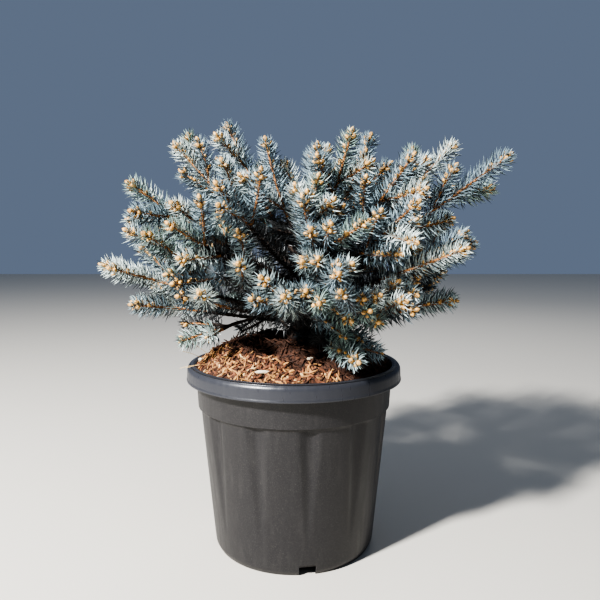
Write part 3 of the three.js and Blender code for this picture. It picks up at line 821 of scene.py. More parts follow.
def pot_outline():
    """The pot's section from the middle of its underside round its hollow rim to the middle of its floor."""
    lip, top, rim, wall = POT_HEIGHT - RIM_BAND, POT_HEIGHT, RIM_RADIUS, WALL
    skirt, step, foot, neck = STAND_RADIUS - wall, COLLAR_BOTTOM, COLLAR_FOOT_RADIUS, COLLAR_TOP_RADIUS
    outside = [(0, 0, 0), (PAD_RADIUS, 0, 1), (PAD_RADIUS + 2, FLOOR_RISE, 2), (skirt, FLOOR_RISE, 2)]
    outside += [(skirt, 0, 0.8), (STAND_RADIUS, 0, 1.2), (body_radius(STAND_RISE), STAND_RISE, 3)]
    outside += [(body_radius(h), h, 0) for h in np.linspace(STAND_RISE + 6, step - 1.8, 44)]
    outside += [(foot, step - 0.9, 0.7), (foot + 0.1, step + 1, 0.6), (neck, lip, 3)]
    outside += [(neck + 0.6, top - 6, 2), (neck + 4, top - 3, 2), (rim - 5, top - 3, 2.5)]
    outside += [(rim - 2.4, top - 8, 2), (rim - 2.4, lip + 1.5, 0.5), (rim - 2.9, lip, 0.5), (rim, lip, 0.8)]
    outside += [(rim, lip + 2.2, 0.8), (rim - 0.7, lip + 3.4, 0.8), (rim - 1.2, top - 3, 5)]
    outside += [(rim - 7, top, 3), (neck + 1.5, top, 2.5), (neck - wall, top - 6, 3)]
    inside = [(foot - wall, step + 2, 1)]
    inside += [(body_radius(h) - wall, h, 0) for h in np.linspace(step - 2, FLOOR_RISE + 8, 30)]
    inside += [(body_radius(FLOOR_RISE) - wall, FLOOR_RISE + wall, 0), (PAD_RADIUS, FLOOR_RISE + wall, 0)]
    inside += [(PAD_RADIUS - wall, wall, 0), (0, wall, 0)]
    return rounded(outside + inside)


def soil_outline():
    """The soil's section: the pot's inner wall less a hair, up to the foot of the mulch."""
    gap = WALL + 0.6
    outline = [(0, FLOOR_RISE + gap)]
    outline += [(body_radius(h) - gap, h) for h in np.linspace(FLOOR_RISE + gap, COLLAR_BOTTOM - 2, 16)]
    edge = COLLAR_FOOT_RADIUS - gap
    return outline + [(edge, COLLAR_BOTTOM + 4), (edge, SOIL_TOP), (0, SOIL_TOP)]


def flute_tree():
    """Sinks evenly spaced flutes into an upright wall, deepest at their top and fading out downwards."""
    lengths = ["Depth", "Turn", "Foot", "Top", "Half angle", "Least radius"]
    tree, given = new_tree("pot_flutes", Int=["Flutes"], Float=lengths)
    place = get(tree, "GeometryNodeInputPosition")
    x, y, z = add(tree, "ShaderNodeSeparateXYZ", {0: place}).outputs
    angle = calc(tree, "ARCTAN2", x, calc(tree, "MULTIPLY", y, -1.0))
    out = calc(tree, "SQRT", calc(tree, "MULTIPLY_ADD", y, y, calc(tree, "MULTIPLY", x, x)))
    pitch = calc(tree, "DIVIDE", 2 * math.pi, given["Flutes"])
    half_pitch, less_half = (calc(tree, "MULTIPLY", pitch, share) for share in (0.5, -0.5))
    off = calc(tree, "WRAP", calc(tree, "SUBTRACT", angle, given["Turn"]), half_pitch, less_half)
    rise = ranged(tree, z, given["Foot"], given["Top"])
    half = calc(tree, "MULTIPLY", calc(tree, "SQRT", rise), given["Half angle"])
    share = calc(tree, "POWER", calc(tree, "DIVIDE", off, half), 2.0)
    hollow = calc(tree, "POWER", calc(tree, "SUBTRACT", 1.0, share, use_clamp=True), 2.0)
    below = calc(tree, "LESS_THAN", z, given["Top"])
    wide = calc(tree, "GREATER_THAN", out, given["Least radius"])
    sink = hollow
    for factor in (rise, given["Depth"], below, wide, -1.0):
        sink = calc(tree, "MULTIPLY", sink, factor)
    level = get(tree, "ShaderNodeCombineXYZ", {0: x, 1: y})
    offset = calc_vector(tree, "SCALE", calc_vector(tree, "NORMALIZE", level), sink)
    return close_tree(tree, moved_by(tree, given["Geometry"], offset), given["Material"], True)


def recalculated(piece):
    """A mesh with its doubles merged and its faces pointing out."""
    work = bmesh.new()
    work.from_mesh(piece.data)
    bmesh.ops.remove_doubles(work, verts=work.verts, dist=1e-6)
    bmesh.ops.recalc_face_normals(work, faces=work.faces)
    work.to_mesh(piece.data)
    work.free()
    return piece


def cut_notches(pot, turn):
    """Four drain notches through the foot, by a Boolean against upright blocks."""
    corners, faces = [], []
    block = [(x, y, z) for x in (-0.5, 0.5) for y in (-0.5, 0.5) for z in (-1, 1)]
    sides = ((0, 1, 3, 2), (4, 6, 7, 5), (0, 4, 5, 1), (2, 3, 7, 6), (0, 2, 6, 4), (1, 5, 7, 3))
    for i in range(NOTCH_COUNT):
        angle = turn + 2 * math.pi * i / NOTCH_COUNT
        start = len(corners)
        for x, y, z in block:
            across, out = x * NOTCH_WIDTH, STAND_RADIUS + 1 + y * 4 * WALL
            x_at = across * math.cos(angle) + out * math.sin(angle)
            y_at = across * math.sin(angle) - out * math.cos(angle)
            corners.append((x_at, y_at, z * NOTCH_HEIGHT))
        faces += [tuple(start + c for c in side) for side in sides]
    blocks = recalculated(mesh_object("notch_blocks", corners, faces))
    cut = pot.modifiers.new("notches", "BOOLEAN")
    cut.object, cut.operation, cut.solver = blocks, "DIFFERENCE", "EXACT"
    mesh = result_of(pot)
    pot.modifiers.clear()
    pot.data = mesh
    bpy.data.objects.remove(blocks)


class SPRUCE_OT_stage(bpy.types.Operator):
    """Lay a pale floor, hang soft lamps and set the camera at the photograph's angle"""

    bl_idname = "spruce.stage"
    bl_label = "Stage"

    def execute(self, context):
        scene = context.scene
        camera = placed("camera", bpy.data.cameras.new("camera"))
        camera.location, camera.rotation_euler = CAMERA_PLACE, (CAMERA_TILT, 0, 0)
        camera.data.sensor_width, camera.data.lens, camera.data.clip_start = SENSOR, LENS, NEAREST
        scene.camera = camera
        corners = [(x * FLOOR_HALF, y * FLOOR_HALF, 0) for x, y in ((-1, -1), (1, -1), (1, 1), (-1, 1))]
        floor = mesh_object("floor", corners, [(0, 1, 2, 3)])
        # Plain matt board: a pale ground with no pattern of its own.
        board, tree, shader = new_material("pale_floor")
        feed(tree, shader, {"Base Color": linear("c8c3b9"), "Roughness": 0.8})
        floor.data.materials.append(board)
        for name, place, power, width in LAMPS:
            lamp = bpy.data.lights.new(name, "AREA")
            lamp.energy, lamp.size = power, width
            hung = placed(name, lamp)
            hung.location = place
            hung.rotation_euler = (Vector(LAMPS_AIM) - Vector(place)).to_track_quat("-Z", "Y").to_euler()
        world = bpy.data.worlds.new("studio")
        world.use_nodes = True
        light = world.node_tree.nodes["Background"]
        feed(world.node_tree, light, {"Color": linear("bfd3f4"), "Strength": 0.25})
        scene.world = world
        scene.view_settings.view_transform = "AgX"
        scene.view_settings.look = "AgX - High Contrast"
        return {"FINISHED"}


class SPRUCE_OT_pot(bpy.types.Operator):
    """Turn the pot with its hollow rim, sink its flutes and cut its drain notches"""

    bl_idname = "spruce.pot"
    bl_label = "Pot"

    def execute(self, context):
        given = context.scene.spruce_pot
        plastic = moulded_polypropylene(tuple(given.plastic), tuple(given.rim_plastic_and_reflection), tuple(given.speck))
        # Moist peat: nearly black and matt, with pale crumbs.
        peat = mottled("moist_peat", "1d130d", "4a3222", 3.0, 0.95, 0.8)
        inputs = {"Flutes": given.flute_count, "Depth": given.flute_depth, "Turn": given.flute_turn}
        inputs |= {"Foot": FLUTE_RUN_OUT * MM, "Top": (COLLAR_BOTTOM - 1) * MM}
        inputs |= {"Half angle": FLUTE_HALF_ANGLE, "Least radius": 1.5 * PAD_RADIUS * MM}
        flutes, pieces = flute_tree(), []
        for name, outline, material in (
            ("nursery_pot", pot_outline(), plastic),
            ("peat_soil", soil_outline(), peat),
        ):
            turned = recalculated(lathe_object(name + "_turned", outline, POT_SEGMENTS))
            pieces.append(run_tree(turned, flutes, name, inputs | {"Material": material}))
        pot, soil = pieces
        cut_notches(pot, given.flute_turn)
        seat(pot, ["pot"])
        seat(soil, ["soil"])
        return {"FINISHED"}


def chip_object(name, length, width, thickness, seed):
    """A torn bark chip: a flat strand with ragged ends, bent a little along its length."""
    draw = seeded(seed)
    rings = []
    for x in np.linspace(-0.5, 0.5, 5):
        ragged = abs(x) == 0.5
        half = 0.5 * width * (0.35 if ragged else 0.75 + 0.5 * draw())
        sway = (draw() - 0.5) * 0.4 * width
        rise = 0.08 * length * (0.25 - x * x) + (draw() - 0.5) * 0.5 * thickness
        thick = thickness * (0.3 if ragged else 0.5)
        corners = ((-half, -thick), (half, -thick), (half * 0.8, thick), (-half * 0.8, thick))
        rings.append([(x * length, y + sway, z + rise) for y, z in corners])
    return recalculated(loft(name, rings))


def scatter_tree():
    """Scatters copies of a chip over faces, each lying on the surface with its own turn, tip and size."""
    sizes = ["Spacing", "Density", "Lift"]
    tree, given = new_tree("scattered_chips", Object=["Chip"], Float=sizes, Int=["Seed"])
    seed = given["Seed"]
    over = {"Mesh": given["Geometry"], "Distance Min": given["Spacing"], "Density Max": given["Density"]}
    over["Seed"] = seed
    spread = add(tree, "GeometryNodeDistributePointsOnFaces", over, distribute_method="POISSON").outputs
    tip = at_random(tree, *CHIP_TIPS, seed)
    turn = get(tree, "FunctionNodeEulerToRotation", {0: tip})
    both = {0: spread["Rotation"], 1: turn}
    laid = get(tree, "FunctionNodeRotateRotation", both, rotation_space="LOCAL")
    scale = at_random(tree, *CHIP_SCALES, seed)
    copies = copies_on(tree, spread["Points"], given["Chip"], laid, scale)
    raised = moved_by(tree, copies, get(tree, "ShaderNodeCombineXYZ", {2: given["Lift"]}))
    return close_tree(tree, raised, given["Material"], False)


def mound_object():
    """The mulch as one closed mound with a rough top, seated in the pot's collar."""
    edge = COLLAR_TOP_RADIUS - WALL - 1.0
    foot = COLLAR_FOOT_RADIUS - WALL - 1.0
    outline = [(0, SOIL_TOP + 0.5), (foot, SOIL_TOP + 0.5), (edge, MULCH_EDGE - 1)]
    outline += [(edge * r, MULCH_EDGE + 2) for r in np.linspace(1, 0, MOUND_RINGS)]
    mound = recalculated(lathe_object("bark_mound", outline, MOUND_SEGMENTS))
    points = np.array([v.co for v in mound.data.vertices]) / MM
    top = points[:, 2] > MULCH_EDGE
    x, y = points[top, 0], points[top, 1]
    rough = np.sin(x / 2.1 + 2 * np.sin(y / 3.3)) * np.cos(y / 1.9 + 2 * np.sin(x / 2.7))
    points[top, 2] = mulch_height(x, y) - 1.5 + 0.9 * rough
    mound.data.vertices.foreach_set("co", (points * MM).ravel())
    return mound


def fresh_bark_in_light(x, y):
    """Whether a place on the mulch is in the fresh pale bark: in front and to the left, where the light
    falls;
    the darker bark behind is partly older bark and partly painted shade of the crown.
    """
    ragged = 7 * np.sin(x / 12 + 0.6) + 5 * np.sin(x / 5.1) + 4 * np.sin(y / 4.3)
    return -y > min(98 + 0.35 * x, 160 + 1.5 * x) + 16 * np.exp(-(((x + 3) / 16) ** 2)) + ragged


def top_of(piece, zone):
    """A copy of a mound's upward faces in a zone, "fresh", "old" or both, to scatter over; the "old" zone's
    darker chips are partly painted shade.
    """
    work = bmesh.new()
    work.from_mesh(piece.data)
    low = []
    for face in work.faces:
        x, y, z = face.calc_center_median() / MM
        wrong = zone != "both" and fresh_bark_in_light(x, y) != (zone == "fresh")
        if face.normal.z < 0.2 or z < MULCH_EDGE - 4 or wrong:
            low.append(face)
    bmesh.ops.delete(work, geom=low, context="FACES")
    mesh = bpy.data.meshes.new("mulch_top")
    work.to_mesh(mesh)
    work.free()
    return placed("mulch_top", mesh)


# Shredded bark by colour: name, dark and light sRGB, share of the usual length, width as a share of length,
# least spacing as a share of the usual, number per square metre and where it lies: the "old" zone's darker
# kinds are partly older bark and partly painted shade of the crown.
CHIP_KINDS = (
    ("chips_tan", "6b4930", "a87d53", 1.0, 0.24, 0.8, 15000, "fresh"),
    ("chips_russet", "563321", "88573b", 1.15, 0.2, 0.8, 16000, "fresh"),
    ("chips_umber", "2d1c15", "5a3a28", 1.2, 0.16, 0.8, 23000, "both"),
    ("chips_pale", "a3865e", "d9bd90", 0.7, 0.3, 1.2, 5000, "fresh"),
    ("shreds_tan", "8a6038", "c2965f", 1.8, 0.08, 1.2, 8000, "fresh"),
    ("shreds_brown", "2c1b13", "5c3b27", 1.9, 0.06, 1.1, 9000, "old"),
    ("crumbs_dark", "1d120c", "4a2f20", 0.4, 0.4, 0.6, 22000, "old"),
    ("crumbs_brown", "2b1b12", "5f3f2b", 0.4, 0.4, 0.9, 9000, "fresh"),
)

# How chips are tipped and turned, in radians, and how their sizes differ.
CHIP_TIPS = ((-0.6, -0.55, -3.14), (0.6, 0.55, 3.14))
CHIP_SCALES = ((0.45, 0.55, 0.7), (1.35, 1.3, 1.2))

# Larger bleached chips that lie in view: place over the plan, turn in degrees, length and width in
# millimetres.
WHITE_CHIPS = (
    (-37, -117, 14, 20, 5.0),
    (-127, -14, 35, 13, 5.5),
    (21, -102, 48, 11, 4.5),
    (70, -100, 80, 9, 3.5),
)

# Dry strands that stray over the rim at the left: each three points of a curve.
DRY_STRANDS = (
    ((-120, -22, 262), (-136, -34, 276), (-149, -44, 280)),
    ((-122, -40, 261), (-138, -52, 263), (-152, -50, 258)),
    ((-112, -50, 264), (-128, -70, 267), (-141, -66, 262)),
    ((-116, -10, 266), (-134, -14, 284), (-146, -30, 290)),
)


class SPRUCE_OT_mulch(bpy.types.Operator):
    """Heap the bark mulch and scatter its shreds and chips by colour"""

    bl_idname = "spruce.mulch"
    bl_label = "Mulch"

    def execute(self, context):
        given = context.scene.spruce_mulch
        mound = mound_object()
        # Moist bark fines: dark and matt, the ground that shows between the chips.
        mound.data.materials.append(mottled("bark_fines", given.humus, "4f3020", 4.0, 0.95, 1.0))
        tree = scatter_tree()
        for index, (name, dark, light, share, slim, spread, density, zone) in enumerate(CHIP_KINDS):
            length = given.chip_length / MM * share
            chip = chip_object(name + "_chip", length, slim * length + 0.6, 1.3, CHIP_SEED + index)
            # Torn bark: matt and fibrous, each chip streaked between two browns.
            material = mottled("torn_bark_" + name, dark, light, 5.0, 0.85, 0.5)
            inputs = {"Chip": chip, "Spacing": given.chip_spacing * spread, "Density": float(density)}
            inputs |= {"Lift": MM, "Seed": index, "Material": material}
            piece = run_tree(top_of(mound, zone), tree, name, inputs)
            bpy.data.objects.remove(chip)
            seat(piece)
        # Sun-bleached sapwood: the few pale chips that catch the eye.
        bleached = mottled("bleached_wood", "b9a88c", "efe6d4", 6.0, 0.8, 0.4)
        for index, (x, y, turn, length, width) in enumerate(WHITE_CHIPS):
            chip = chip_object("bleached_chip_%d" % index, length, width, 1.6, WHITE_CHIP_SEED + index)
            place = Matrix.Translation(Vector((x, y, float(mulch_height(x, y)) + 2.5)) * MM)
            turned = Matrix.Rotation(math.radians(turn), 4, "Z") @ Matrix.Rotation(0.35, 4, "X")
            chip.data.transform(place @ turned)
            chip.data.materials.append(bleached)
            seat(chip)
        # Dry straw: thin, golden and a little shiny.
        straw = mottled("dry_straw", "b98d52", "e8cf9b", 4.0, 0.7, 0.2)
        none = np.zeros(13)
        strands = [(points_of(np.array(row, float), 12), none + 0.3, none, none) for row in DRY_STRANDS]
        seat(swept_wood("dry_strands", strands, wood_tree(), straw))
        seat(mound, ["mulch"])
        return {"FINISHED"}


# How each kind of wood is swept: sides, step in metres, swelling, relief and grain in metres, and seed.
WOODS = {
    "dry_strands": (5, 0.003, 0.1, 0.0001, 0.003, 5),
    "spruce_trunk": (48, 0.0016, 0.015, 0.003, 0.006, 1),
    "spruce_boughs": (14, 0.002, 0.04, 0.0012, 0.003, 2),
    "spruce_twigs": (5, 0.003, 0.18, 0.0006, 0.0022, 3),
    "shaded_twigs": (5, 0.003, 0.18, 0.0006, 0.0022, 3),
}


def wood_tree():
    """Sweeps a round section along lines by their wood radius, rings swollen at random, relief by noise."""
    sizes = ["Step", "Swelling", "Relief", "Grain"]
    tree, given = new_tree("grown_wood", Int=["Sides", "Seed"], Float=sizes)
    curve = get(tree, "GeometryNodeMeshToCurve", {0: given["Geometry"]})
    steps = {"Curve": curve, "Length": given["Step"]}
    rings = get(tree, "GeometryNodeResampleCurve", steps, mode="LENGTH")
    low, high = (calc(tree, way, 1.0, given["Swelling"]) for way in ("SUBTRACT", "ADD"))
    radius = calc(tree, "MULTIPLY", named(tree, "wood"), at_random(tree, low, high, given["Seed"]))
    circle = {"Resolution": given["Sides"], "Radius": 1.0}
    section = get(tree, "GeometryNodeCurvePrimitiveCircle", circle)
    sweep = {"Curve": rings, "Profile Curve": section, "Scale": radius, "Fill Caps": True}
    swept = get(tree, "GeometryNodeCurveToMesh", sweep)
    place = get(tree, "GeometryNodeInputPosition")
    drawn_out = calc_vector(tree, "MULTIPLY", place, (1.0, 1.0, 0.45))
    noise = noise_at(tree, drawn_out, calc(tree, "DIVIDE", 1.0, given["Grain"]), 3.0)
    height = calc(tree, "MULTIPLY", calc(tree, "SUBTRACT", noise, 0.5), given["Relief"])
    offset = calc_vector(tree, "SCALE", get(tree, "GeometryNodeInputNormal"), height)
    return close_tree(tree, moved_by(tree, swept, offset), given["Material"], True)


def swept_wood(name, lines, tree, material):
    inputs = dict(zip(("Sides", "Step", "Swelling", "Relief", "Grain", "Seed"), WOODS[name]))
    return run_tree(lines_object(name + "_lines", lines), tree, name, inputs | {"Material": material})


def trunk_line():
    share, none = np.linspace(0, 1, TRUNK_POINTS), np.zeros(TRUNK_POINTS)
    radius = TRUNK_FOOT_RADIUS + (TRUNK_TIP_RADIUS - TRUNK_FOOT_RADIUS) * share
    return at(TRUNK, share), radius + ROOT_FLARE * np.exp(-FLARE_FADE * share), none, none


def wood_line(curve, foot, tip, begin=0.0, end=1.0):
    count = max(4, int(length_of(curve) * (end - begin) / WOOD_STEP))
    share = np.linspace(begin, end, count)
    return at(curve, share), foot + (tip - foot) * share, np.zeros(count), np.zeros(count)


class SPRUCE_OT_wood(bpy.types.Operator):
    """Grow the trunk, the boughs and the bark of every shoot and twig"""

    bl_idname = "spruce.wood"
    bl_label = "Wood"

    def execute(self, context):
        tree, limbs = wood_tree(), grown(context)
        # Scaly bark of old wood, matt: its nearly black is partly the old bark's own colour and partly
        # painted shade of the crown's inside.
        old = mottled("scaly_bark_and_painted_shade", "1a130f", "3a2c23", 5.0, 0.9, 0.8)
        # Smooth bark of young shoots: orange brown, the colour that shows between the needles.
        young = mottled("orange_twig_bark", "5e3b22", "b98048", 2.4, 0.7, 0.4)
        seat(swept_wood("spruce_trunk", [trunk_line()], tree, old), ["trunk"])
        carried = [limb for limb in limbs if limb.carried]
        lines = [wood_line(limb.bough, BOUGH_FOOT_RADIUS, STEM_RADIUS + 0.4) for limb in carried]
        boughs = swept_wood("spruce_boughs", lines, tree, old)
        seat(boughs, ["bough_" + limb.name for limb in carried])
        # A shoot deep in the crown, and the stretch of others inside the crown or a hollow, takes the nearly
        # black bark as painted shade; the rest takes the orange bark.
        shaded, lit = [], []
        for limb in limbs:
            for shoot in limb.shoots:
                foot, tip = SHOOT_RADII[shoot.rank]
                shade_share = inner_share(shoot) if outness_and_light(limb, shoot) > BUD_OUTNESS else 1.0
                if shade_share > 0:
                    shaded.append(wood_line(shoot.curve, foot, tip, 0, shade_share))
                if shade_share < 1:
                    lit.append(wood_line(shoot.curve, foot, tip, shade_share))
        for name, lines, bark in (("spruce_twigs", lit, young), ("shaded_twigs", shaded, old)):
            seat(swept_wood(name, lines, tree, bark), ["mass_" + limb.name for limb in limbs])
        return {"FINISHED"}


grown_limbs = []


def grown(context):
    """The plant's limbs, grown once for all the pieces that follow them."""
    if not grown_limbs:
        grown_limbs.extend(grow(context.scene.spruce_foliage.twig_spacing / MM))
    return grown_limbs


def needle_object():
    """One needle a unit long and thick: a three-sided blade that keeps its width and bends to its point."""
    rings = [ring_of(3, 0.35, 0.0), ring_of(3, 0.5, 0.58, aside=-0.75), [(0.45, 0.0, 1.0)]]
    return loft("needle", [np.array(ring) / MM for ring in rings])


def needle_tree():
    """Stands needles round lines in a spiral: leaning forwards, lifted, and as long as the line says."""
    sizes = ["Spacing", "Width", "Lean", "Lift"]
    tree, given = new_tree("needle_sprays", Object=["Needle"], Float=sizes, Int=["Seed"])
    first = given["Seed"]
    second, third = (calc(tree, "ADD", first, more) for more in SEED_STEPS)
    curve = get(tree, "GeometryNodeMeshToCurve", {0: given["Geometry"]})
    steps = {"Curve": curve, "Length": given["Spacing"]}
    stand = add(tree, "GeometryNodeCurveToPoints", steps, mode="LENGTH").outputs
    ahead = stand["Tangent"]
    number = get(tree, "GeometryNodeInputIndex")
    turn = calc(tree, "MULTIPLY_ADD", number, GOLDEN_ANGLE, at_random(tree, *NEEDLE_TURNS, first))
    around = {"Vector": stand["Normal"], "Axis": ahead, "Angle": turn}
    outward = get(tree, "ShaderNodeVectorRotate", around)
    tilt = at_random(tree, *NEEDLE_TILTS, second)
    lean = calc(tree, "MULTIPLY_ADD", given["Lean"], named(tree, "lean"), tilt)
    lift = get(tree, "ShaderNodeCombineXYZ", {2: given["Lift"]})
    out = calc_vector(tree, "SCALE", outward, calc(tree, "SINE", lean))
    aim = calc_vector(tree, "ADD", out, calc_vector(tree, "SCALE", ahead, calc(tree, "COSINE", lean)))
    axes = {0: calc_vector(tree, "ADD", aim, lift), 1: ahead}
    rotation = get(tree, "FunctionNodeAxesToRotation", axes, primary_axis="Z", secondary_axis="X")
    length = calc(tree, "MULTIPLY", named(tree, "needle"), at_random(tree, *NEEDLE_LENGTHS, third))
    scale = get(tree, "ShaderNodeCombineXYZ", {0: given["Width"], 1: given["Width"], 2: length})
    grows = calc(tree, "GREATER_THAN", length, LEAST_NEEDLE * MM)
    copies = copies_on(tree, stand["Points"], given["Needle"], rotation, scale, grows)
    return close_tree(tree, copies, given["Material"], False)


# Needles by colour, dealt out by shoot: name and sRGB. The pale tones, the bloom's own colours, go to the
# crown's outside and to lit shoots as painted light; the dark last two go inside as painted shade, the last
# near black for the shade inside the crown and its hollows.
NEEDLE_TONES = (
    ("needles_silver", "c5d2ce"),
    ("needles_frost", "a7b8b9"),
    ("needles_blue", "869aa2"),
    ("needles_sea", "8a9f98"),
    ("needles_slate", "485860"),
    ("needles_shade", "111617"),
)
# A sparser layer of dark needles under each pale shoot: painted shade of its underside, with some of the
# needles' own darker sides.
UNDER_SHADE = ("needles_under", "242f33")

# The tones' growing shares of the shoots, for shoots that stand further out than each outness: the pale ones
# further out as painted light, the dark ones further in as painted shade.
TONE_SHARES = (
    (0.84, (0.26, 0.52, 0.8, 1)),
    (0.7, (0.06, 0.3, 0.56, 0.74, 1)),
    (-1, (0, 0, 0.05, 0.1, 0.45, 1)),
)


def outness_and_light(limb, shoot):
    """How far out in the crown a shoot's tip stands: near 1 at its surface and for one that is lit, nothing
    in a hollow; it deals the needles' pale tones as painted light and their dark ones as painted shade.
    """
    tip = shoot.curve[2] - CROWN_CENTRE
    out = float(np.linalg.norm(tip / CROWN_HALF))
    if shoot.seen or limb.name.startswith("droop") and np.linalg.norm(tip) > LIT_REACH:
        return max(out, LIT_OUTNESS)
    return 0.0 if in_recess(shoot.curve[2]) else out


def tone_of(out, draw):
    """Which colour a shoot's needles take: pale at the crown's outside as painted light, dull and dark
    towards its middle as painted shade.
    """
    shares = next(shares for least, shares in TONE_SHARES if out > least)
    pick = draw()
    return next(tone for tone, share in enumerate(shares) if pick <= share)


def needle_line(curve, begin, end, full, clothed=False):
    """A stretch of a shoot with the needles' length and lean along it: shorter at its tip and near the pot,
    and none on old wood under the skirt unless it's clothed there too."""
    count = max(5, int(length_of(curve) * (end - begin) / NEEDLE_STEP))
    share = np.linspace(begin, end, count)
    points = at(curve, share)
    to_tip = (1 - share) * length_of(curve)
    length = full * np.clip(FOOT_LENGTH + share / FOOT_SHARE, 0, 1)
    length *= np.clip(TIP_LENGTH + to_tip / TIP_RUN, 0, 1)
    length = np.minimum(length, np.maximum(0, room_to_pot(points) + 1))
    bare, short = under_skirt(points)
    if not clothed:
        length[short] *= SKIRT_LENGTH
        length[bare] = 0
    return points, np.full(count, TWIG_RADIUS), length, np.clip(TIP_LEAN + to_tip / LEAN_RUN, 0, 1)


def inner_share(shoot):
    """The share of a shoot up to which it stands in the shade inside the crown."""
    share = np.linspace(0, 0.9, 19)
    points = at(shoot.curve, share)
    inside = np.linalg.norm((points - CROWN_CENTRE) / CROWN_HALF, axis=1) < INNER_CROWN
    if not shoot.seen:
        inside |= in_recess(points)
    return float(share[inside].max()) if inside.any() else 0.0


class SPRUCE_OT_needles(bpy.types.Operator):
    """Clothe every shoot in needles, one piece for each colour"""

    bl_idname = "spruce.needles"
    bl_label = "Needles"

    def execute(self, context):
        given = context.scene.spruce_foliage
        full = given.needle_length / MM
        sprays, tufts, under = [[] for _ in NEEDLE_TONES], [[] for _ in NEEDLE_TONES], []
        shade = len(NEEDLE_TONES) - 1
        draw = seeded(NEEDLE_SEED)
        limbs = grown(context)
        for limb in limbs:
            # Boughs bear needles of the near-black tone: painted shade inside the crown.
            if limb.carried:
                sprays[shade].append(needle_line(limb.bough, 0.12, 1, full))
            for shoot in limb.shoots:
                curve, bare, rank, _ = shoot
                tone, length = tone_of(outness_and_light(limb, shoot), draw), full * RANK_LENGTHS[rank]
                # The side shoots of a late-needled drooping limb take the near-black tone as painted shade.
                clothed = limb.name in LATE_NEEDLES and rank == 1 and not shoot.seen
                tone = shade if clothed else tone
                lit_from = max(bare, inner_share(shoot)) if tone < shade else bare
                # A shoot's stretch inside the crown or a hollow takes the near-black tone as painted shade.
                if lit_from > bare + 0.05:
                    sprays[shade].append(needle_line(curve, min(bare, 0.1), lit_from, length))
                sprays[tone].append(needle_line(curve, lit_from, 1, length, clothed))
                # A pale shoot gets the dark layer of painted shade under it, and a tuft at its tip.
                if tone < shade:
                    under.append(needle_line(curve, lit_from, 1, length))
                    tuft_from = max(lit_from, 1 - TUFT / length_of(curve))
                    tufts[tone].append(needle_line(curve, tuft_from, 1, TUFT_LENGTH * length))
        tree, needle = needle_tree(), needle_object()
        sprays = [lines + more for lines, more in zip(sprays, tufts)]
        for index, ((name, tint), lines) in enumerate(zip((*NEEDLE_TONES, UNDER_SHADE), (*sprays, under))):
            below = name == UNDER_SHADE[0]
            inputs = {"Needle": needle, "Spacing": given.needle_spacing * (UNDER_SPACING if below else 1)}
            inputs |= {"Width": given.needle_width, "Lean": given.needle_lean, "Seed": index}
            inputs |= {"Lift": UNDER_LIFT if below else given.needle_lift}
            inputs["Material"] = waxy_needles("waxy_" + name, tint)
            piece = run_tree(lines_object(name + "_lines", lines), tree, name, inputs)
            seat(piece, ["mass_" + limb.name for limb in limbs])
        bpy.data.objects.remove(needle)
        return {"FINISHED"}


def bud_object():
    """One winter bud a unit long, pointing up Z: an egg of overlapping scales with a blunt tip."""
    scales = ((0.0, 0.26), (0.2, 0.38), (0.3, 0.33), (0.5, 0.4), (0.62, 0.33), (0.84, 0.2))
    rings = [ring_of(6, radius, height, 0.5 * (k % 2)) for k, (height, radius) in enumerate(scales)]
    return loft("bud", [np.array(ring) / MM for ring in (*rings, [(0, 0, 1.0)])])


def bud_tree():
    """Sets a bud on every point, turned to the point's aim and scaled to its size."""
    tree, given = new_tree("winter_buds", Object=["Bud"], Float=["Length"])
    points = get(tree, "GeometryNodeMeshToPoints", {0: given["Geometry"]})
    aim = named(tree, "aim", "FLOAT_VECTOR")
    rotation = get(tree, "FunctionNodeAlignRotationToVector", {"Vector": aim}, axis="Z")
    length = calc(tree, "MULTIPLY", named(tree, "share"), given["Length"])
    return close_tree(tree, copies_on(tree, points, given["Bud"], rotation, length), given["Material"], True)


def tip_buds(shoot, side, shy, draw):
    """A cluster of buds on a shoot's tip, each with its place, aim and share of a bud's length."""
    tip, along = shoot.curve[2], heading(shoot.curve, 1)
    main = shoot.rank < 2
    least, more = MAIN_CLUSTER if main else TWIG_CLUSTER
    drawn = least + int(draw() * more)
    count, full = 1 if shy else drawn, 1.0 if main else TWIG_BUD
    yield tip - along * BUD_SEAT, along, SHY_BUD if shy else full
    start = draw() * 2 * math.pi
    for i in range(count):
        around = turned_about(side, along, start + 2 * math.pi * i / count)
        place = tip - along * (4 + 5 * draw()) + around * 2.2
        aim = unit(along * 0.8 + around * (0.9 + 0.4 * draw()))
        yield place, aim, (LEAST_BUD + (1 - LEAST_BUD) * draw()) * full


def side_buds(shoot, side, draw):
    """Single buds along the upper side of a shoot's outer part."""
    whole = length_of(shoot.curve)
    least, more = SIDE_BUDS
    for i in range(least + int(draw() * more)):
        share = 1 - (FIRST_BUD + BUD_STEP * i + BUD_STRAY * draw()) / whole
        if share < BUDS_FROM:
            continue
        way = heading(shoot.curve, share)
        above = unit(UP - way * np.dot(UP, way) + 0.001 * side)
        around = turned_about(above, way, (draw() - 0.5) * 2.4)
        yield at(shoot.curve, share) + around * BUD_SEAT, unit(way * 0.8 + around), 0.6 + 0.3 * draw()


def bud_points(limbs):
    """Buds on every shoot that is far enough out, as arrays of places, aims and shares of length."""
    draw, buds = seeded(BUD_SEED), []
    for limb in limbs:
        for shoot in limb.shoots:
            if outness_and_light(limb, shoot) < BUD_OUTNESS:
                continue
            tip = shoot.curve[2]
            side = unit(np.cross(heading(shoot.curve, 1), UP + np.array([0.01, 0.02, 0])))
            shy = tip[2] < SHY_HEIGHT and tip[1] > SHY_FRONT
            buds += tip_buds(shoot, side, shy, draw)
            if shoot.rank < 2 and not shy:
                buds += side_buds(shoot, side, draw)
    return [np.array(column) for column in zip(*buds)]


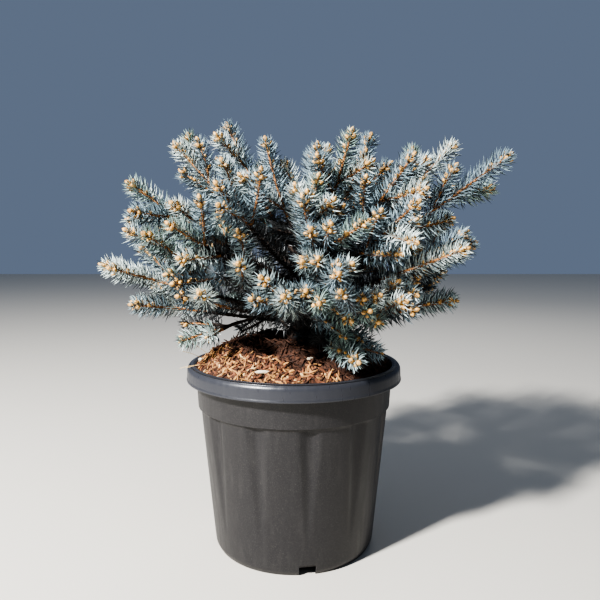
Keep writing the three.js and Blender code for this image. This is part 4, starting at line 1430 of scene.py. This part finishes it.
class SPRUCE_OT_buds(bpy.types.Operator):
    """Set winter buds on the tips and along the upper side of the shoots"""

    bl_idname = "spruce.buds"
    bl_label = "Buds"

    def execute(self, context):
        places, aims, shares = bud_points(grown(context))
        source = mesh_object("bud_points", places)
        keep_on(source, "aim", aims)
        keep_on(source, "share", shares)
        bud = bud_object()
        # Dry scales sealed with resin: orange brown with a low gloss.
        skin = mottled("resinous_bud_scales", "8b6539", "e6b974", 3.0, 0.5, 0.4)
        inputs = {"Bud": bud, "Length": context.scene.spruce_foliage.bud_length, "Material": skin}
        piece = run_tree(source, bud_tree(), "spruce_buds", inputs)
        bpy.data.objects.remove(bud)
        seat(piece)
        return {"FINISHED"}


class SPRUCE_PT_panel(bpy.types.Panel):
    """Sizes and colours of the potted spruce, with a button for each piece"""

    bl_label = "Potted Blue Spruce"
    bl_idname = "SPRUCE_PT_panel"
    bl_space_type = "VIEW_3D"
    bl_region_type = "UI"
    bl_category = "Spruce"

    def draw(self, context):
        for operator in STEPS:
            self.layout.operator(operator.bl_idname)
        for group, holder in GROUPS:
            box = self.layout.box()
            for key in group.__annotations__:
                box.prop(getattr(context.scene, holder), key)


STEPS = (SPRUCE_OT_stage, SPRUCE_OT_pot, SPRUCE_OT_mulch, SPRUCE_OT_wood, SPRUCE_OT_needles, SPRUCE_OT_buds)
GROUPS = ((SprucePot, "spruce_pot"), (SpruceMulch, "spruce_mulch"), (SpruceFoliage, "spruce_foliage"))


def register():
    for kind in (*[group for group, _ in GROUPS], *STEPS, SPRUCE_PT_panel):
        bpy.utils.register_class(kind)
    for group, holder in GROUPS:
        setattr(bpy.types.Scene, holder, PointerProperty(type=group))


def unregister():
    for group, holder in GROUPS:
        delattr(bpy.types.Scene, holder)
    for kind in (SPRUCE_PT_panel, *STEPS, *[group for group, _ in GROUPS]):
        bpy.utils.unregister_class(kind)


def main():
    register()
    for operator in STEPS:
        group, name = operator.bl_idname.split(".")
        getattr(getattr(bpy.ops, group), name)()
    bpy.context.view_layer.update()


if __name__ == "__main__":
    main()
